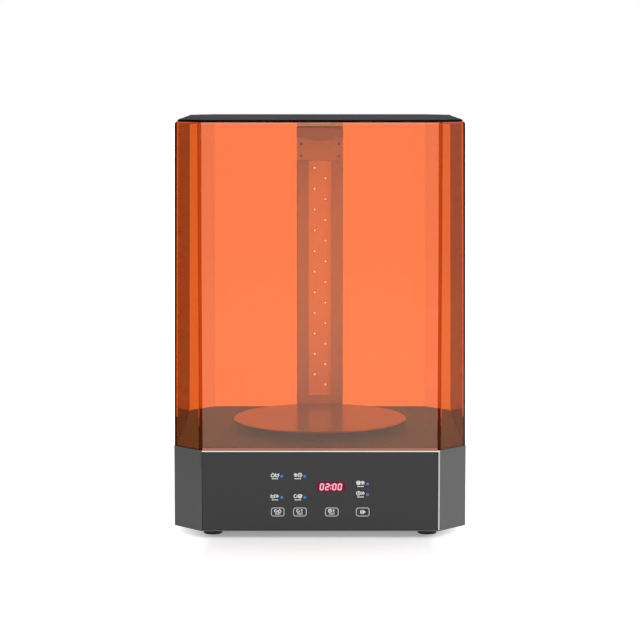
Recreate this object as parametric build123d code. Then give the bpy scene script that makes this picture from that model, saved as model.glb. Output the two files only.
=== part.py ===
from build123d import *
import os
from math import atan2, cos, degrees, radians, sin, sqrt

# Resin wash and cure station. Origin on the floor under the middle of the base,
# X to the right, front towards -Y, Z up, millimetres.

# Overall form
body_width = 306.5
body_depth = 285.0
corner_cut = 29.5  # legs of the 45 degree corners
base_round = 0.8  # radius along the upright edges of the base
foot_height = 7.5
base_height = 85.0
hood_height = 339.5

# Clearances
slide_gap = 0.1  # between flat faces of pieces that move apart
run_gap = 0.05  # radial, shaft in bore
fit_gap = 0.3  # around a moulding dropped into another
press_gap = 0.02  # radial, pressed or glued pieces

# Base housing
base_wall = 2.5
roof_thickness = 2.5
roof_margin_x = 52.5  # from the sides of the base to the opening under the deck
roof_margin_y = 72.5  # from its front and rear faces
roof_opening_round = 6.0
floor_thickness = 2.0
screw_post_diameter = 8.0
side_post_inset = 15.5  # from the side faces
side_post_y = 70.0
rear_post_inset = 11.5  # from the rear face
rear_post_x = 45.0
rib_thickness = 1.6
pilot_diameter = 2.6
pilot_depth = 14.0

# Vents
floor_vent_count = 9
floor_vent_pitch = 9.0
floor_vent_width = 3.0
floor_vent_length = 34.0
floor_vent_inset = 60.5  # from the sides of the base to the middle of the slots
rear_vent_count = 10
rear_vent_pitch = 6.0
rear_vent_width = 2.4
rear_vent_height = 26.0
rear_vent_inset = 36.0  # from the rear corner to the middle of the slots
rear_vent_rise = 40.5  # middle of the slots, above the base's bottom

# Front panel and its trim
front_recess = 2.6
front_lip = 1.2  # edge of the base under the panel
trim_width = 1.8
trim_wrap = 0.9  # how far the trim's seat reaches past the front corners, into the 45 degree faces
trim_bevel = 0.8  # along its upper front edge
trim_ease = 0.4  # along its inner front edges
trim_gap = 0.1
panel_gap = 0.4
panel_thickness = 2.4
panel_window_width = 124.0
panel_window_margin = 13.0  # from the opening behind the panel to the base's bottom and top
tab_width = 8.0
tab_thickness = 1.2
tab_reach = 2.0

# Touch panel parts, as seen from the front, with heights above the base's bottom
display_width = 29.2
display_height = 10.0
display_x = 11.3
display_rise = 46.9
light_diameter = 2.8
light_flange = 4.2
light_flange_thickness = 1.0
light_places = [(-39.7, 58.0), (-15.9, 58.0), (-39.7, 35.7), (-15.9, 35.7), (49.4, 49.8), (49.4, 38.7)]
key_rise = 20.3
key_places = [-44.0, -20.9, 12.3, 44.5]
touch_pad_diameter = 8.0
board_thickness = 1.6
touch_board_distance = 4.4  # behind the front wall
touch_board_border = 8.0  # beside the opening behind the panel
touch_board_edge = 3.0  # above and below it

# Feet and screws
foot_inset_x = 40.5  # from the side faces to a foot's middle
foot_inset_y = 27.0  # from the front and rear faces
foot_diameter = 22.0
foot_taper = 1.0
foot_bore_diameter = 9.0
foot_bore_depth = 4.0
screw_diameter = 3.0
screw_clearance = 0.2  # radial, screw in a plain hole
screw_head_diameter = 5.8
screw_head_height = 2.0
slot_width = 0.9
slot_depth = 0.45

# Deck
deck_thickness = 1.5
deck_inset = 4.5
deck_rib_depth = 3.0
deck_rib_thickness = 2.5
deck_pad_margin = 9.0  # beyond the posts of the motor bracket
deck_pad_round = 8.0
deck_screw_inset_x = 33.5  # from the side faces
deck_screw_inset_y = 61.0  # from the front and rear faces
deck_screw_length = 10.0
collar_diameter = 30.0  # raised ring round the spindle hole
collar_thickness = 2.0
collar_height = 1.2

# Spindle, bearings and motor
spindle_diameter = 8.0
spindle_collar_step = 1.5  # radial
bearing_diameter = 22.0
bearing_width = 7.0
bearing_spacing = 5.0
bearing_ring_thickness = 2.0
housing_wall = 5.0
housing_lip = 1.5
housing_flange_diameter = 58.0
housing_flange_thickness = 3.0
housing_screw_circle = 46.0
circlip_diameter = 14.0
circlip_thickness = 1.0
coupling_diameter = 19.0
coupling_gap = 3.0  # to the bracket below and the bearing housing above
coupling_slit = 1.0
motor_size = 42.3
motor_length = 28.0
motor_corner = 5.0
motor_cap_length = 8.0
motor_core_inset = 0.8
motor_pilot_diameter = 22.0
motor_pilot_height = 2.0
motor_screw_inset = 5.65  # from the motor's sides
motor_floor_gap = 2.5
motor_shaft_diameter = 5.0
motor_shaft_depth = 20.0  # inside the motor
bracket_margin = 6.0  # beyond its posts
bracket_round = 6.0
bracket_thickness = 2.0
motor_post_pitch = 58.0
motor_post_diameter = 7.0

# Hub and turntable
turntable_gap = 6.4  # from its edge to the front of the light column
turntable_thickness = 3.0
turntable_edge = 0.8
boss_thickness = 2.5
hub_diameter = 64.0
hub_thickness = 2.5
hub_rise = 2.0  # hub's underside above the deck
hub_collar_diameter = 18.0
spigot_diameter = 16.0
spigot_bite = 1.4  # into the turntable's disc
magnet_diameter = 8.0
magnet_thickness = 2.0
magnet_circle = 44.0
drive_pin_diameter = 4.0
drive_pin_circle = 52.0
boss_screw_circle = 30.0

# Light column
column_width = 52.5
column_depth = 30.0
column_back_gap = 6.0  # from the column to the hood's rear wall
column_headroom = 9.5  # from the cap to the hood's ceiling
column_wall = 2.0
column_mouth_gap = 4.0  # from the lamp board to the channel's lips
face_thickness = 1.6
face_inset = 0.6
head_thickness = 2.0
head_height = 25.5
head_gap = 0.4
window_width = 26.0
window_bottom = 19.0  # above the deck
window_drop = 26.2  # from the channel's top to the top of the window
bead_border = 3.3  # raised border round the window
bead_height = 0.4
snap_rib_depth = 1.6
snap_rib_thickness = 1.2
head_screw_inset = 4.75  # from the sides of the column
head_screw_drops = (7.2, 21.1)  # below the channel's top
head_screw_head_diameter = 3.2
head_screw_head_height = 0.7
head_screw_diameter = 2.0
cap_height = 12.5
cap_lip_thickness = 1.5
cap_lip_width = 37.0
cap_lip_low = 4.5  # middle of the lip, below the channel's top
cap_lip_high = 1.0  # ends of the lip, below the channel's top
cap_notch_width = 5.25
cap_notch_height = 1.7
cap_plug_depth = 6.0
cap_round = 1.5
foot_block_height = 12.0
foot_screw_x = 15.0
foot_screw_spread = 12.0  # from one row of column screws to the other
column_screw_grip = 8.0
cable_hole_diameter = 8.0

# Lights in the column
led_board_border = 0.5  # hidden behind each edge of the window
led_size = 3.2
led_thickness = 0.6
led_lens_diameter = 2.4
led_lens_height = 0.4
led_step = 11.86
led_end_gap = 8.3  # from the ends of the window to the nearest lamps
led_offset = 6.15  # to each side of the middle
heatsink_thickness = 2.0
heatsink_fin_count = 6
heatsink_fin_pitch = 7.5
heatsink_fin_thickness = 1.2
heatsink_fin_depth = 7.0
heatsink_end = 3.0  # above the foot block and below the cap's plug
guide_rib_depth = 1.5

# Hood
hood_wall = 3.0
hood_roof = 1.5
hood_inset = 0.5
hood_draft = 2.7  # how far each side leans in from the bottom of the hood to its top
hood_round = 4.0  # radius along the upright edges
hood_top_round = 3.0
top_plate_thickness = 2.0
top_plate_inset = 2.7
top_plate_edge = 0.5
hood_magnet_diameter = 6.0
hood_magnet_thickness = 2.0
magnet_pad_width = 10.0
magnet_pad_height = 9.0
magnet_pad_thickness = 3.0
magnet_pad_rise = 1.0  # above the deck
sensor_width = 12.0
sensor_depth = 8.0
sensor_height = 5.0

# Power socket and switch at the rear
rear_recess_inset = 39.0  # from the rear corner to the middle of the recess
rear_recess_width = 62.0
rear_recess_height = 34.0
rear_recess_depth = 4.0
rear_recess_rise = 38.5  # middle of the recess, above the base's bottom
switch_offset = 14.0  # from the middle of the recess, towards the middle of the base
switch_bezel_rim = 0.9
switch_bezel_thickness = 1.5
switch_wall = 1.1
switch_body_depth = 16.0
rocker_width = 10.6
rocker_half_height = 8.2
rocker_face = 3.75  # ends of the rocker, outwards of its pivot
rocker_valley = 2.45
rocker_back = 2.5
rocker_gap = 0.7
rocker_pin_diameter = 2.4
rocker_pin_reach = 0.8
rocker_throw = 16.0  # degrees from one stop to the other
socket_offset = 16.0  # from the middle of the recess, away from the switch
socket_flange_diameter = 13.0
socket_flange_thickness = 1.2
socket_body_diameter = 11.0
socket_body_depth = 14.0
socket_bore_diameter = 6.4
socket_bore_depth = 9.5
socket_pin_diameter = 2.1

# Control board, its parts placed from the board's left, front and rear edges
control_board_gap = 21.5  # from the side face to the board's edge
control_board_y = -6.0
control_board_width = 78.0
control_board_depth = 92.0
control_board_inset = 5.0
board_standoff_diameter = 6.0
board_standoff_height = 6.0
terminal_count = 4
terminal_pitch = 15.0
terminal_width = 12.0
terminal_depth = 8.0
terminal_height = 9.0
terminal_edge = 1.0  # behind it
capacitor_count = 3
capacitor_pitch = 14.0
capacitor_diameter = 9.0
capacitor_height = 14.0
capacitor_row = 26.0  # from the rear edge
board_part_start = 16.0  # from the left edge to the middle of the first terminal and capacitor
driver_size = 18.0
driver_height = 8.0
driver_x = 21.0
processor_size = 20.0
processor_height = 3.0
processor_x = 56.0
chip_row = 28.0  # from the front edge

# Levels and faces worked out from the sizes above
base_bottom = foot_height
base_top = base_bottom + base_height
roof_bottom = base_top - roof_thickness
floor_top = base_bottom + floor_thickness
deck_top = base_top + deck_thickness
deck_pad_bottom = base_top - deck_rib_depth
hood_bottom = base_top + slide_gap
hood_top = base_top + hood_height
hood_ceiling = hood_top - hood_roof
front_face = -body_depth / 2
rear_face = body_depth / 2
side_face = body_width / 2
flat_half = side_face - corner_cut
recess_floor = front_face + front_recess
front_wall_back = recess_floor + base_wall
recess_half = flat_half + trim_wrap
rear_post_y = rear_face - rear_post_inset
roof_opening_x = side_face - roof_margin_x
roof_opening_y = rear_face - roof_margin_y
screw_hole_diameter = screw_diameter + 2 * screw_clearance
display_z = base_bottom + display_rise
key_z = base_bottom + key_rise
rear_vent_z = base_bottom + rear_vent_rise
rear_vent_x = flat_half - rear_vent_inset
rear_recess_z = base_bottom + rear_recess_rise
rear_recess_x = rear_recess_inset - flat_half
switch_x = rear_recess_x + switch_offset
socket_x = rear_recess_x - socket_offset
control_board_x = control_board_gap + control_board_width / 2 - side_face
deck_pad_size = motor_post_pitch + 2 * deck_pad_margin
bracket_size = motor_post_pitch + 2 * bracket_margin
motor_screw_pitch = motor_size - 2 * motor_screw_inset
spindle_collar_diameter = spindle_diameter + 2 * spindle_collar_step

# The drive, from the motor upwards
motor_bottom = floor_top + motor_floor_gap
motor_top = motor_bottom + motor_length
bracket_top = motor_top + bracket_thickness
upper_bearing = deck_pad_bottom - slide_gap - bearing_width
lower_bearing = upper_bearing - bearing_spacing - bearing_width
bearing_levels = (lower_bearing, upper_bearing)
housing_bottom = lower_bearing - housing_lip
coupling_bottom = bracket_top + coupling_gap
coupling_top = housing_bottom - coupling_gap
coupling_middle = (coupling_bottom + coupling_top) / 2
hub_seat = deck_top + fit_gap
hub_bottom = deck_top + hub_rise
hub_top = hub_bottom + hub_thickness
boss_bottom = hub_top + slide_gap
turntable_bottom = boss_bottom + boss_thickness
spigot_top = turntable_bottom + spigot_bite

# The light column, from the rear wall forwards and from its cap down
hood_inside = rear_face - hood_inset - hood_wall
column_back = hood_inside - column_back_gap
column_front = column_back - column_depth
column_half = column_width / 2
column_top = hood_ceiling - column_headroom - cap_height
window_low = deck_top + window_bottom
window_high = column_top - window_drop
led_board_width = window_width + 2 * led_board_border
mouth_half = led_board_width / 2 + column_mouth_gap
heatsink_front = column_front + column_wall + fit_gap
guide_rib_front = heatsink_front + heatsink_thickness + fit_gap
column_room_front = guide_rib_front + guide_rib_depth + fit_gap
column_room_back = column_back - column_wall
column_middle = (column_room_front + column_room_back) / 2
turntable_radius = column_front - face_thickness - turntable_gap


def octagon(inset, rounding=0.0):
    """The plan of the station: a rectangle with 45 degree corners, moved in evenly by inset."""
    cut = corner_cut - inset * (2 - sqrt(2))
    outline = Rectangle(body_width - 2 * inset, body_depth - 2 * inset)
    outline = chamfer(outline.vertices(), cut)
    if rounding > 0:
        outline = fillet(outline.vertices(), rounding)
    return outline


def slab(outline, bottom, top):
    """An outline on the floor plane, raised between two levels."""
    return Pos(0, 0, bottom) * extrude(outline, top - bottom)


def upright(outline, front, back):
    """An outline drawn as seen from the front, thickened between two depths."""
    return Pos(0, back, 0) * Rot(90, 0, 0) * extrude(outline, back - front)


def block(left, right, front, back, bottom, top):
    """A rectangular block between two opposite corners."""
    middle = Pos((left + right) / 2, (front + back) / 2, (bottom + top) / 2)
    return middle * Box(right - left, back - front, top - bottom)


def rod(x, y, bottom, top, diameter):
    """An upright round bar."""
    return Pos(x, y, (bottom + top) / 2) * Cylinder(diameter / 2, top - bottom)


def cross_rod(x, z, front, back, diameter):
    """A round bar that runs from front to back."""
    return Pos(x, (front + back) / 2, z) * Rot(90, 0, 0) * Cylinder(diameter / 2, back - front)


def turned(points):
    """A body of revolution about Z, from its half profile of (radius, height) points."""
    profile = Plane.XZ * make_face(Polyline(*points, close=True))
    return revolve(profile, Axis.Z)


def group(pieces):
    """Separate pieces that share a node."""
    return Compound(children=list(pieces))


def corners(x, y):
    """The four places at plus and minus x and y."""
    return [(-x, -y), (x, -y), (x, y), (-x, y)]


def pan_screw(length, head_diameter=screw_head_diameter, head_height=screw_head_height,
              diameter=screw_diameter):
    """A slotted pan head screw that points down, with the underside of its head at the origin."""
    slot = Pos(0, 0, head_height) * Box(head_diameter, slot_width, 2 * slot_depth)
    head = Pos(0, 0, head_height / 2) * Cylinder(head_diameter / 2, head_height)
    return head + Pos(0, 0, -length / 2) * Cylinder(diameter / 2, length) - slot


def bottom_post_places():
    """Where the bottom screws meet the housing."""
    at_the_sides = corners(side_face - side_post_inset, side_post_y)
    return at_the_sides + [(-rear_post_x, rear_post_y), (rear_post_x, rear_post_y)]


def foot_places():
    """Where the feet stand."""
    return corners(side_face - foot_inset_x, rear_face - foot_inset_y)


def deck_screw_places():
    """Where the deck is screwed to the housing."""
    return corners(side_face - deck_screw_inset_x, rear_face - deck_screw_inset_y)


def tab_places():
    """Middles of the tabs behind the trim: (x, z, across), where across is 1 for a tab along X."""
    side = recess_half - trim_gap - trim_width / 2
    top = base_top - trim_width / 2
    low = base_bottom + 0.3 * base_height
    high = base_bottom + 0.7 * base_height
    on_top = [(-recess_half / 2, top, 1), (recess_half / 2, top, 1)]
    return on_top + [(x, z, 0) for x in (-side, side) for z in (low, high)]


def trim_tab(x, z, across, room):
    """One tab of the trim, or with room the slot that it passes through."""
    wide = tab_width if across else tab_thickness
    tall = tab_thickness if across else tab_width
    reach = tab_reach + (base_wall if room else 0)
    return block(
        x - wide / 2 - room, x + wide / 2 + room, recess_floor, recess_floor + reach,
        z - tall / 2 - room, z + tall / 2 + room,
    )


def base_shell():
    """The housing of the base: walls and roof in one, open below, recessed at front and rear."""
    shell = slab(octagon(0, base_round), base_bottom, base_top)
    cavity = slab(octagon(base_wall), base_bottom, roof_bottom)
    shell -= cavity - block(-body_width, body_width, front_face, front_wall_back, 0, base_top)
    opening = Rectangle(2 * roof_opening_x, 2 * roof_opening_y)
    opening = fillet(opening.vertices(), roof_opening_round)
    shell -= slab(opening, roof_bottom, base_top)

    recess_bottom = base_bottom + front_lip
    shell -= block(-recess_half, recess_half, front_face, recess_floor, recess_bottom, base_top)
    low = base_bottom + panel_window_margin
    high = base_top - panel_window_margin
    half_window = panel_window_width / 2
    shell -= block(-half_window, half_window, recess_floor, front_wall_back, low, high)
    for x, z, across in tab_places():
        shell -= trim_tab(x, z, across, trim_gap)

    pocket = Pos(rear_recess_x, rear_recess_z) * Rectangle(rear_recess_width, rear_recess_height)
    pocket_floor = rear_face - rear_recess_depth
    backing = Pos(rear_recess_x, rear_recess_z) * Rectangle(
        rear_recess_width + 2 * base_wall, rear_recess_height + 2 * base_wall
    )
    shell += upright(backing, pocket_floor - base_wall, rear_face - base_wall)
    shell -= upright(pocket, pocket_floor, rear_face)
    half_wide = rocker_room_width() / 2 + switch_wall + fit_gap
    half_tall = rocker_pocket() + switch_wall + fit_gap
    shell -= block(
        switch_x - half_wide, switch_x + half_wide, pocket_floor - base_wall, pocket_floor,
        rear_recess_z - half_tall, rear_recess_z + half_tall,
    )
    socket_hole = socket_body_diameter + 2 * trim_gap
    shell -= cross_rod(socket_x, rear_recess_z, pocket_floor - base_wall, pocket_floor, socket_hole)

    for i in range(rear_vent_count):
        x = rear_vent_x + (i - (rear_vent_count - 1) / 2) * rear_vent_pitch
        low = rear_vent_z - rear_vent_height / 2
        shell -= block(
            x - rear_vent_width / 2, x + rear_vent_width / 2, rear_face - base_wall, rear_face,
            low, low + rear_vent_height,
        )

    for x, y in bottom_post_places():
        post = rod(x, y, floor_top, roof_bottom, screw_post_diameter)
        if y == rear_post_y:
            half = rib_thickness / 2
            post += block(x - half, x + half, y, rear_face - base_wall, floor_top, roof_bottom)
        else:
            wall = body_width / 2 - base_wall
            side = 1 if x > 0 else -1
            near, far = sorted((x, side * wall))
            post += block(near, far, y - rib_thickness / 2, y + rib_thickness / 2, floor_top, roof_bottom)
        shell += post
        shell -= rod(x, y, floor_top, floor_top + pilot_depth, pilot_diameter)
    for x, y in deck_screw_places():
        shell += rod(x, y, roof_bottom - deck_screw_length, roof_bottom, screw_post_diameter)
        shell -= rod(x, y, roof_bottom - deck_screw_length, base_top, pilot_diameter)
    for x, z in touch_board_screw_places():
        shell += cross_rod(x, z, front_wall_back, touch_board_front(), board_standoff_diameter)
        shell -= cross_rod(x, z, front_wall_back, touch_board_front(), pilot_diameter)
    for x, y in column_screw_places():
        shell -= rod(x, y, roof_bottom, base_top, screw_hole_diameter)
    shell -= rod(0, column_middle, roof_bottom, base_top, cable_hole_diameter)
    return shell


def bottom_plate():
    """The floor of the base, with vents, screw holes, nut bosses for the feet and standoffs."""
    plate = slab(octagon(base_wall + fit_gap), base_bottom, floor_top)
    room = front_recess + base_wall + fit_gap
    plate -= block(-body_width, body_width, front_face, front_face + room, 0, floor_top)
    for side in (-1, 1):
        for i in range(floor_vent_count):
            y = (i - (floor_vent_count - 1) / 2) * floor_vent_pitch
            x = side * (side_face - floor_vent_inset)
            plate -= block(
                x - floor_vent_length / 2, x + floor_vent_length / 2,
                y - floor_vent_width / 2, y + floor_vent_width / 2, base_bottom, floor_top,
            )
    for x, y in bottom_post_places():
        plate -= rod(x, y, base_bottom, floor_top, screw_hole_diameter)
    for x, y in foot_places():
        plate += rod(x, y, floor_top, floor_top + foot_bore_depth, screw_post_diameter)
        plate -= rod(x, y, base_bottom, floor_top + foot_bore_depth, screw_diameter + 2 * press_gap)
    for x, y in control_board_corners():
        plate += rod(x, y, floor_top, floor_top + board_standoff_height, board_standoff_diameter)
        plate -= rod(x, y, floor_top, floor_top + board_standoff_height, pilot_diameter)
    return plate


def feet():
    """Four round rubber feet, narrower at the floor, each with a sunk hole for its screw."""
    top = foot_diameter / 2
    low = top - foot_taper
    hole = screw_hole_diameter / 2
    sunk = foot_bore_diameter / 2
    profile = [
        (sunk, 0), (low - foot_taper / 2, 0), (low, foot_taper / 2), (top, foot_height),
        (hole, foot_height), (hole, foot_bore_depth), (sunk, foot_bore_depth),
    ]
    return group(Pos(x, y, 0) * turned(profile) for x, y in foot_places())


def foot_screws():
    """Screws from below through the feet into the bottom plate."""
    screw = Rot(180, 0, 0) * pan_screw(floor_top - fit_gap)
    return group(Pos(x, y, foot_bore_depth) * screw for x, y in foot_places())


def bottom_screws():
    """Screws that hold the bottom plate to the posts of the housing."""
    screw = Rot(180, 0, 0) * pan_screw(
        floor_thickness + pilot_depth - fit_gap, diameter=pilot_diameter - 2 * press_gap
    )
    return group(Pos(x, y, base_bottom) * screw for x, y in bottom_post_places())


def front_trim():
    """The bright edge over the top and down both front corners of the base, with its tabs."""
    outer = recess_half - trim_gap
    inner = outer - trim_width
    low = base_bottom + front_lip
    high = base_top - trim_width
    trim = block(-outer, outer, front_face, recess_floor, low, base_top)
    trim = chamfer(trim.edges().group_by(Axis.Y)[0].sort_by(Axis.Z)[-1], trim_bevel)
    trim &= slab(octagon(0), low, base_top)
    trim -= block(-inner, inner, front_face, recess_floor, low, high)
    opening = [
        edge for edge in trim.edges().group_by(Axis.Y)[0]
        if abs(edge.center().X) < inner + trim_gap and edge.center().Z < high + trim_gap
        and edge.length > trim_width
    ]
    trim = chamfer(opening, trim_ease)
    for x, z, across in tab_places():
        trim += trim_tab(x, z, across, 0)
    return trim


def front_panel():
    """The dark sheet inside the trim, with openings for the display and the six small lights."""
    half = recess_half - trim_gap - trim_width - panel_gap
    low = base_bottom + front_lip + panel_gap
    high = base_top - trim_width - panel_gap
    panel = block(-half, half, recess_floor - panel_thickness, recess_floor, low, high)
    opening = Pos(display_x, display_z) * Rectangle(display_width, display_height)
    panel -= upright(opening, recess_floor - panel_thickness, recess_floor)
    for x, z in light_middles():
        panel -= cross_rod(x, z, recess_floor - panel_thickness, recess_floor, light_diameter + 2 * trim_gap)
    return panel


def display_lens():
    """The tinted window over the digits."""
    outline = Rectangle(display_width - 2 * trim_gap, display_height - 2 * trim_gap)
    return upright(Pos(display_x, display_z) * outline, recess_floor - panel_thickness, recess_floor)


def touch_board_front():
    """Depth of the front of the board behind the panel."""
    return front_wall_back + touch_board_distance


def touch_board_screw_places():
    """Where the board behind the panel is screwed down, as (x, z), beside the panel's opening."""
    x = panel_window_width / 2 + touch_board_border / 2
    low = base_bottom + panel_window_margin + touch_board_edge
    high = base_top - panel_window_margin - touch_board_edge
    return [(side * x, z) for side in (-1, 1) for z in (low, high)]


def touch_board():
    """The circuit board behind the panel, on four posts of the housing."""
    half = panel_window_width / 2 + touch_board_border
    low = base_bottom + panel_window_margin - touch_board_edge
    high = base_top - panel_window_margin + touch_board_edge
    front = touch_board_front()
    board = block(-half, half, front, front + board_thickness, low, high)
    for x, z in touch_board_screw_places():
        board -= cross_rod(x, z, front, front + board_thickness, screw_hole_diameter)
    return board


def board_screws():
    """Screws that hold the control board to its standoffs and the touch board to its posts."""
    diameter = pilot_diameter - 2 * press_gap
    down = pan_screw(board_thickness + board_standoff_height - fit_gap, diameter=diameter)
    forward = Rot(-90, 0, 0) * pan_screw(board_thickness + touch_board_distance - fit_gap, diameter=diameter)
    board_top = floor_top + board_standoff_height + board_thickness
    screws = [Pos(x, y, board_top) * down for x, y in control_board_corners()]
    board_back = touch_board_front() + board_thickness
    screws += [Pos(x, board_back, z) * forward for x, z in touch_board_screw_places()]
    return group(screws)


def display_module():
    """The digit module, from its board to the back of the tinted window."""
    outline = Pos(display_x, display_z) * Rectangle(
        display_width - 4 * trim_gap, display_height - 4 * trim_gap
    )
    return upright(outline, recess_floor + trim_gap, touch_board_front())


def light_middles():
    """Where the small lights are, as (x, z)."""
    return [(x, base_bottom + rise) for x, rise in light_places]


def indicator_lights():
    """Six light guides, flush in the panel, each with a flange behind it and its lamp's end."""
    guides = []
    for x, z in light_middles():
        guide = cross_rod(x, z, recess_floor - panel_thickness, touch_board_front(), light_diameter)
        flange = cross_rod(x, z, recess_floor, recess_floor + light_flange_thickness, light_flange)
        guides.append(guide + flange)
    return group(guides)


def touch_pads():
    """Soft conductive pads between the board and the back of the panel, one behind each key."""
    return group(
        cross_rod(x, key_z, recess_floor, touch_board_front(), touch_pad_diameter) for x in key_places
    )


def deck_plate():
    """The deck inside the hood, with a stiff middle that carries the drive."""
    deck = slab(octagon(deck_inset), base_top, deck_top)
    pad = fillet(Rectangle(deck_pad_size, deck_pad_size).vertices(), deck_pad_round)
    deck += slab(pad, deck_pad_bottom, base_top)
    half_x = roof_opening_x - fit_gap
    half_y = roof_opening_y - fit_gap
    half_rib = deck_rib_thickness / 2
    deck += block(-half_x, half_x, -half_rib, half_rib, deck_pad_bottom, base_top)
    deck += block(-half_rib, half_rib, -half_y, half_y, deck_pad_bottom, base_top)
    frame = fillet(Rectangle(2 * half_x, 2 * half_y).vertices(), roof_opening_round - fit_gap)
    frame -= offset(frame, -deck_rib_thickness)
    deck += slab(frame, deck_pad_bottom, base_top)
    ring = Circle(collar_diameter / 2) - Circle(collar_diameter / 2 - collar_thickness)
    deck += slab(ring, deck_top, deck_top + collar_height)
    deck -= rod(0, 0, deck_pad_bottom, deck_top, spindle_collar_diameter + 2 * fit_gap)
    for x, y in deck_screw_places():
        deck -= Pos(x, y, 0) * countersink(screw_hole_diameter, screw_head_diameter + 2 * press_gap)
    for x, y in corners(motor_post_pitch / 2, motor_post_pitch / 2):
        deck -= rod(x, y, deck_pad_bottom, base_top, screw_diameter + 2 * press_gap)
    for x, y in housing_screw_places():
        deck -= rod(x, y, deck_pad_bottom, base_top, pilot_diameter)
    for x, y in column_screw_places():
        deck -= rod(x, y, base_top, deck_top, screw_hole_diameter)
    deck -= rod(0, column_middle, base_top, deck_top, cable_hole_diameter)
    return deck


def countersink(shank, head):
    """The hole of a countersunk deck screw, or its head: a cone under the deck's top."""
    return turned([(0, base_top), (shank / 2, base_top), (head / 2, deck_top), (0, deck_top)])


def deck_screws():
    """Countersunk screws that hold the deck to the housing."""
    head = countersink(pilot_diameter, screw_head_diameter)
    shank = rod(0, 0, roof_bottom - deck_screw_length + fit_gap, base_top, pilot_diameter - 2 * press_gap)
    slot = Pos(0, 0, deck_top) * Box(screw_head_diameter, slot_width, 2 * slot_depth)
    return group(Pos(x, y, 0) * (head + shank - slot) for x, y in deck_screw_places())


def ring_places(circle, count=4, start=45.0):
    """Places evenly spaced on a circle, given by its diameter."""
    turns = [radians(start + 360 * i / count) for i in range(count)]
    return [(circle / 2 * cos(turn), circle / 2 * sin(turn)) for turn in turns]


def housing_screw_places():
    """Where the bearing housing is screwed under the deck."""
    return ring_places(housing_screw_circle, start=0.0)


def bearing_housing():
    """A flanged sleeve under the deck with a seat for each bearing."""
    sleeve = bearing_diameter / 2 + housing_wall
    flange = housing_flange_diameter / 2
    flange_bottom = deck_pad_bottom - housing_flange_thickness
    seat = bearing_diameter / 2 + press_gap
    shoulder = bearing_diameter / 2 - bearing_ring_thickness / 2
    housing = turned([
        (shoulder, housing_bottom), (sleeve, housing_bottom), (sleeve, flange_bottom),
        (flange, flange_bottom), (flange, deck_pad_bottom), (seat, deck_pad_bottom),
        (seat, upper_bearing), (shoulder, upper_bearing), (shoulder, lower_bearing + bearing_width),
        (seat, lower_bearing + bearing_width), (seat, lower_bearing), (shoulder, lower_bearing),
    ])
    for x, y in housing_screw_places():
        housing -= rod(x, y, flange_bottom, deck_pad_bottom, screw_hole_diameter)
    return housing


def housing_screws():
    """Screws from below through the flange of the bearing housing into the deck."""
    flange_bottom = deck_pad_bottom - housing_flange_thickness
    length = housing_flange_thickness + deck_rib_depth - fit_gap
    screw = Rot(180, 0, 0) * pan_screw(length, diameter=pilot_diameter - 2 * press_gap)
    return group(Pos(x, y, flange_bottom) * screw for x, y in housing_screw_places())


def inner_ring_diameter():
    """Outer diameter of a bearing's inner ring."""
    return spindle_diameter + 2 * bearing_ring_thickness


def bearing_outer_rings():
    """The outer rings of the two bearings, each with its shields."""
    inside = bearing_diameter / 2 - bearing_ring_thickness
    shield = inner_ring_diameter() / 2 + run_gap
    shield_thickness = bearing_width / 10
    outside = bearing_diameter / 2
    ring = turned([
        (shield, 0), (outside, 0), (outside, bearing_width), (shield, bearing_width),
        (shield, bearing_width - shield_thickness), (inside, bearing_width - shield_thickness),
        (inside, shield_thickness), (shield, shield_thickness),
    ])
    return group(Pos(0, 0, level) * ring for level in bearing_levels)


def bearing_inner_rings():
    """The inner rings of the two bearings, which turn with the spindle."""
    bore = spindle_diameter / 2 + press_gap
    ring = slab(Circle(inner_ring_diameter() / 2) - Circle(bore), 0, bearing_width)
    return group(Pos(0, 0, level) * ring for level in bearing_levels)


def spindle():
    """The turning shaft, with a collar that rests on the upper bearing."""
    bottom = coupling_middle + slide_gap
    upper_bearing_top = upper_bearing + bearing_width
    main = spindle_diameter / 2
    collar = spindle_collar_diameter / 2
    return turned([
        (0, bottom), (main, bottom), (main, upper_bearing_top), (collar, upper_bearing_top),
        (collar, hub_seat), (main, hub_seat), (main, hub_top), (0, hub_top),
    ])


def spindle_circlip():
    """The open ring under the lower bearing that keeps the spindle in."""
    top = lower_bearing - slide_gap
    ring = Circle(circlip_diameter / 2) - Circle(spindle_diameter / 2 + press_gap)
    ring -= Pos(circlip_diameter / 2, 0) * Rectangle(circlip_diameter, spindle_diameter / 3)
    return slab(ring, top - circlip_thickness, top)


def shaft_coupling():
    """The clamping sleeve between motor shaft and spindle, slit at both ends."""
    bottom, middle, top = coupling_bottom, coupling_middle, coupling_top
    lower_bore = motor_shaft_diameter / 2 + press_gap
    upper_bore = spindle_diameter / 2 + press_gap
    outside = coupling_diameter / 2
    sleeve = turned([
        (lower_bore, bottom), (outside, bottom), (outside, top), (upper_bore, top),
        (upper_bore, middle), (lower_bore, middle),
    ])
    reach = (top - bottom) / 3
    half_slit = coupling_slit / 2
    sleeve -= block(0, outside, -half_slit, half_slit, bottom, bottom + reach)
    sleeve -= block(0, outside, -half_slit, half_slit, top - reach, top)
    return sleeve


def motor_shaft():
    """The motor's shaft, from inside the motor to the middle of the coupling."""
    bottom = motor_top - motor_shaft_depth + slide_gap
    return rod(0, 0, bottom, coupling_middle - slide_gap, motor_shaft_diameter)


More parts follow.
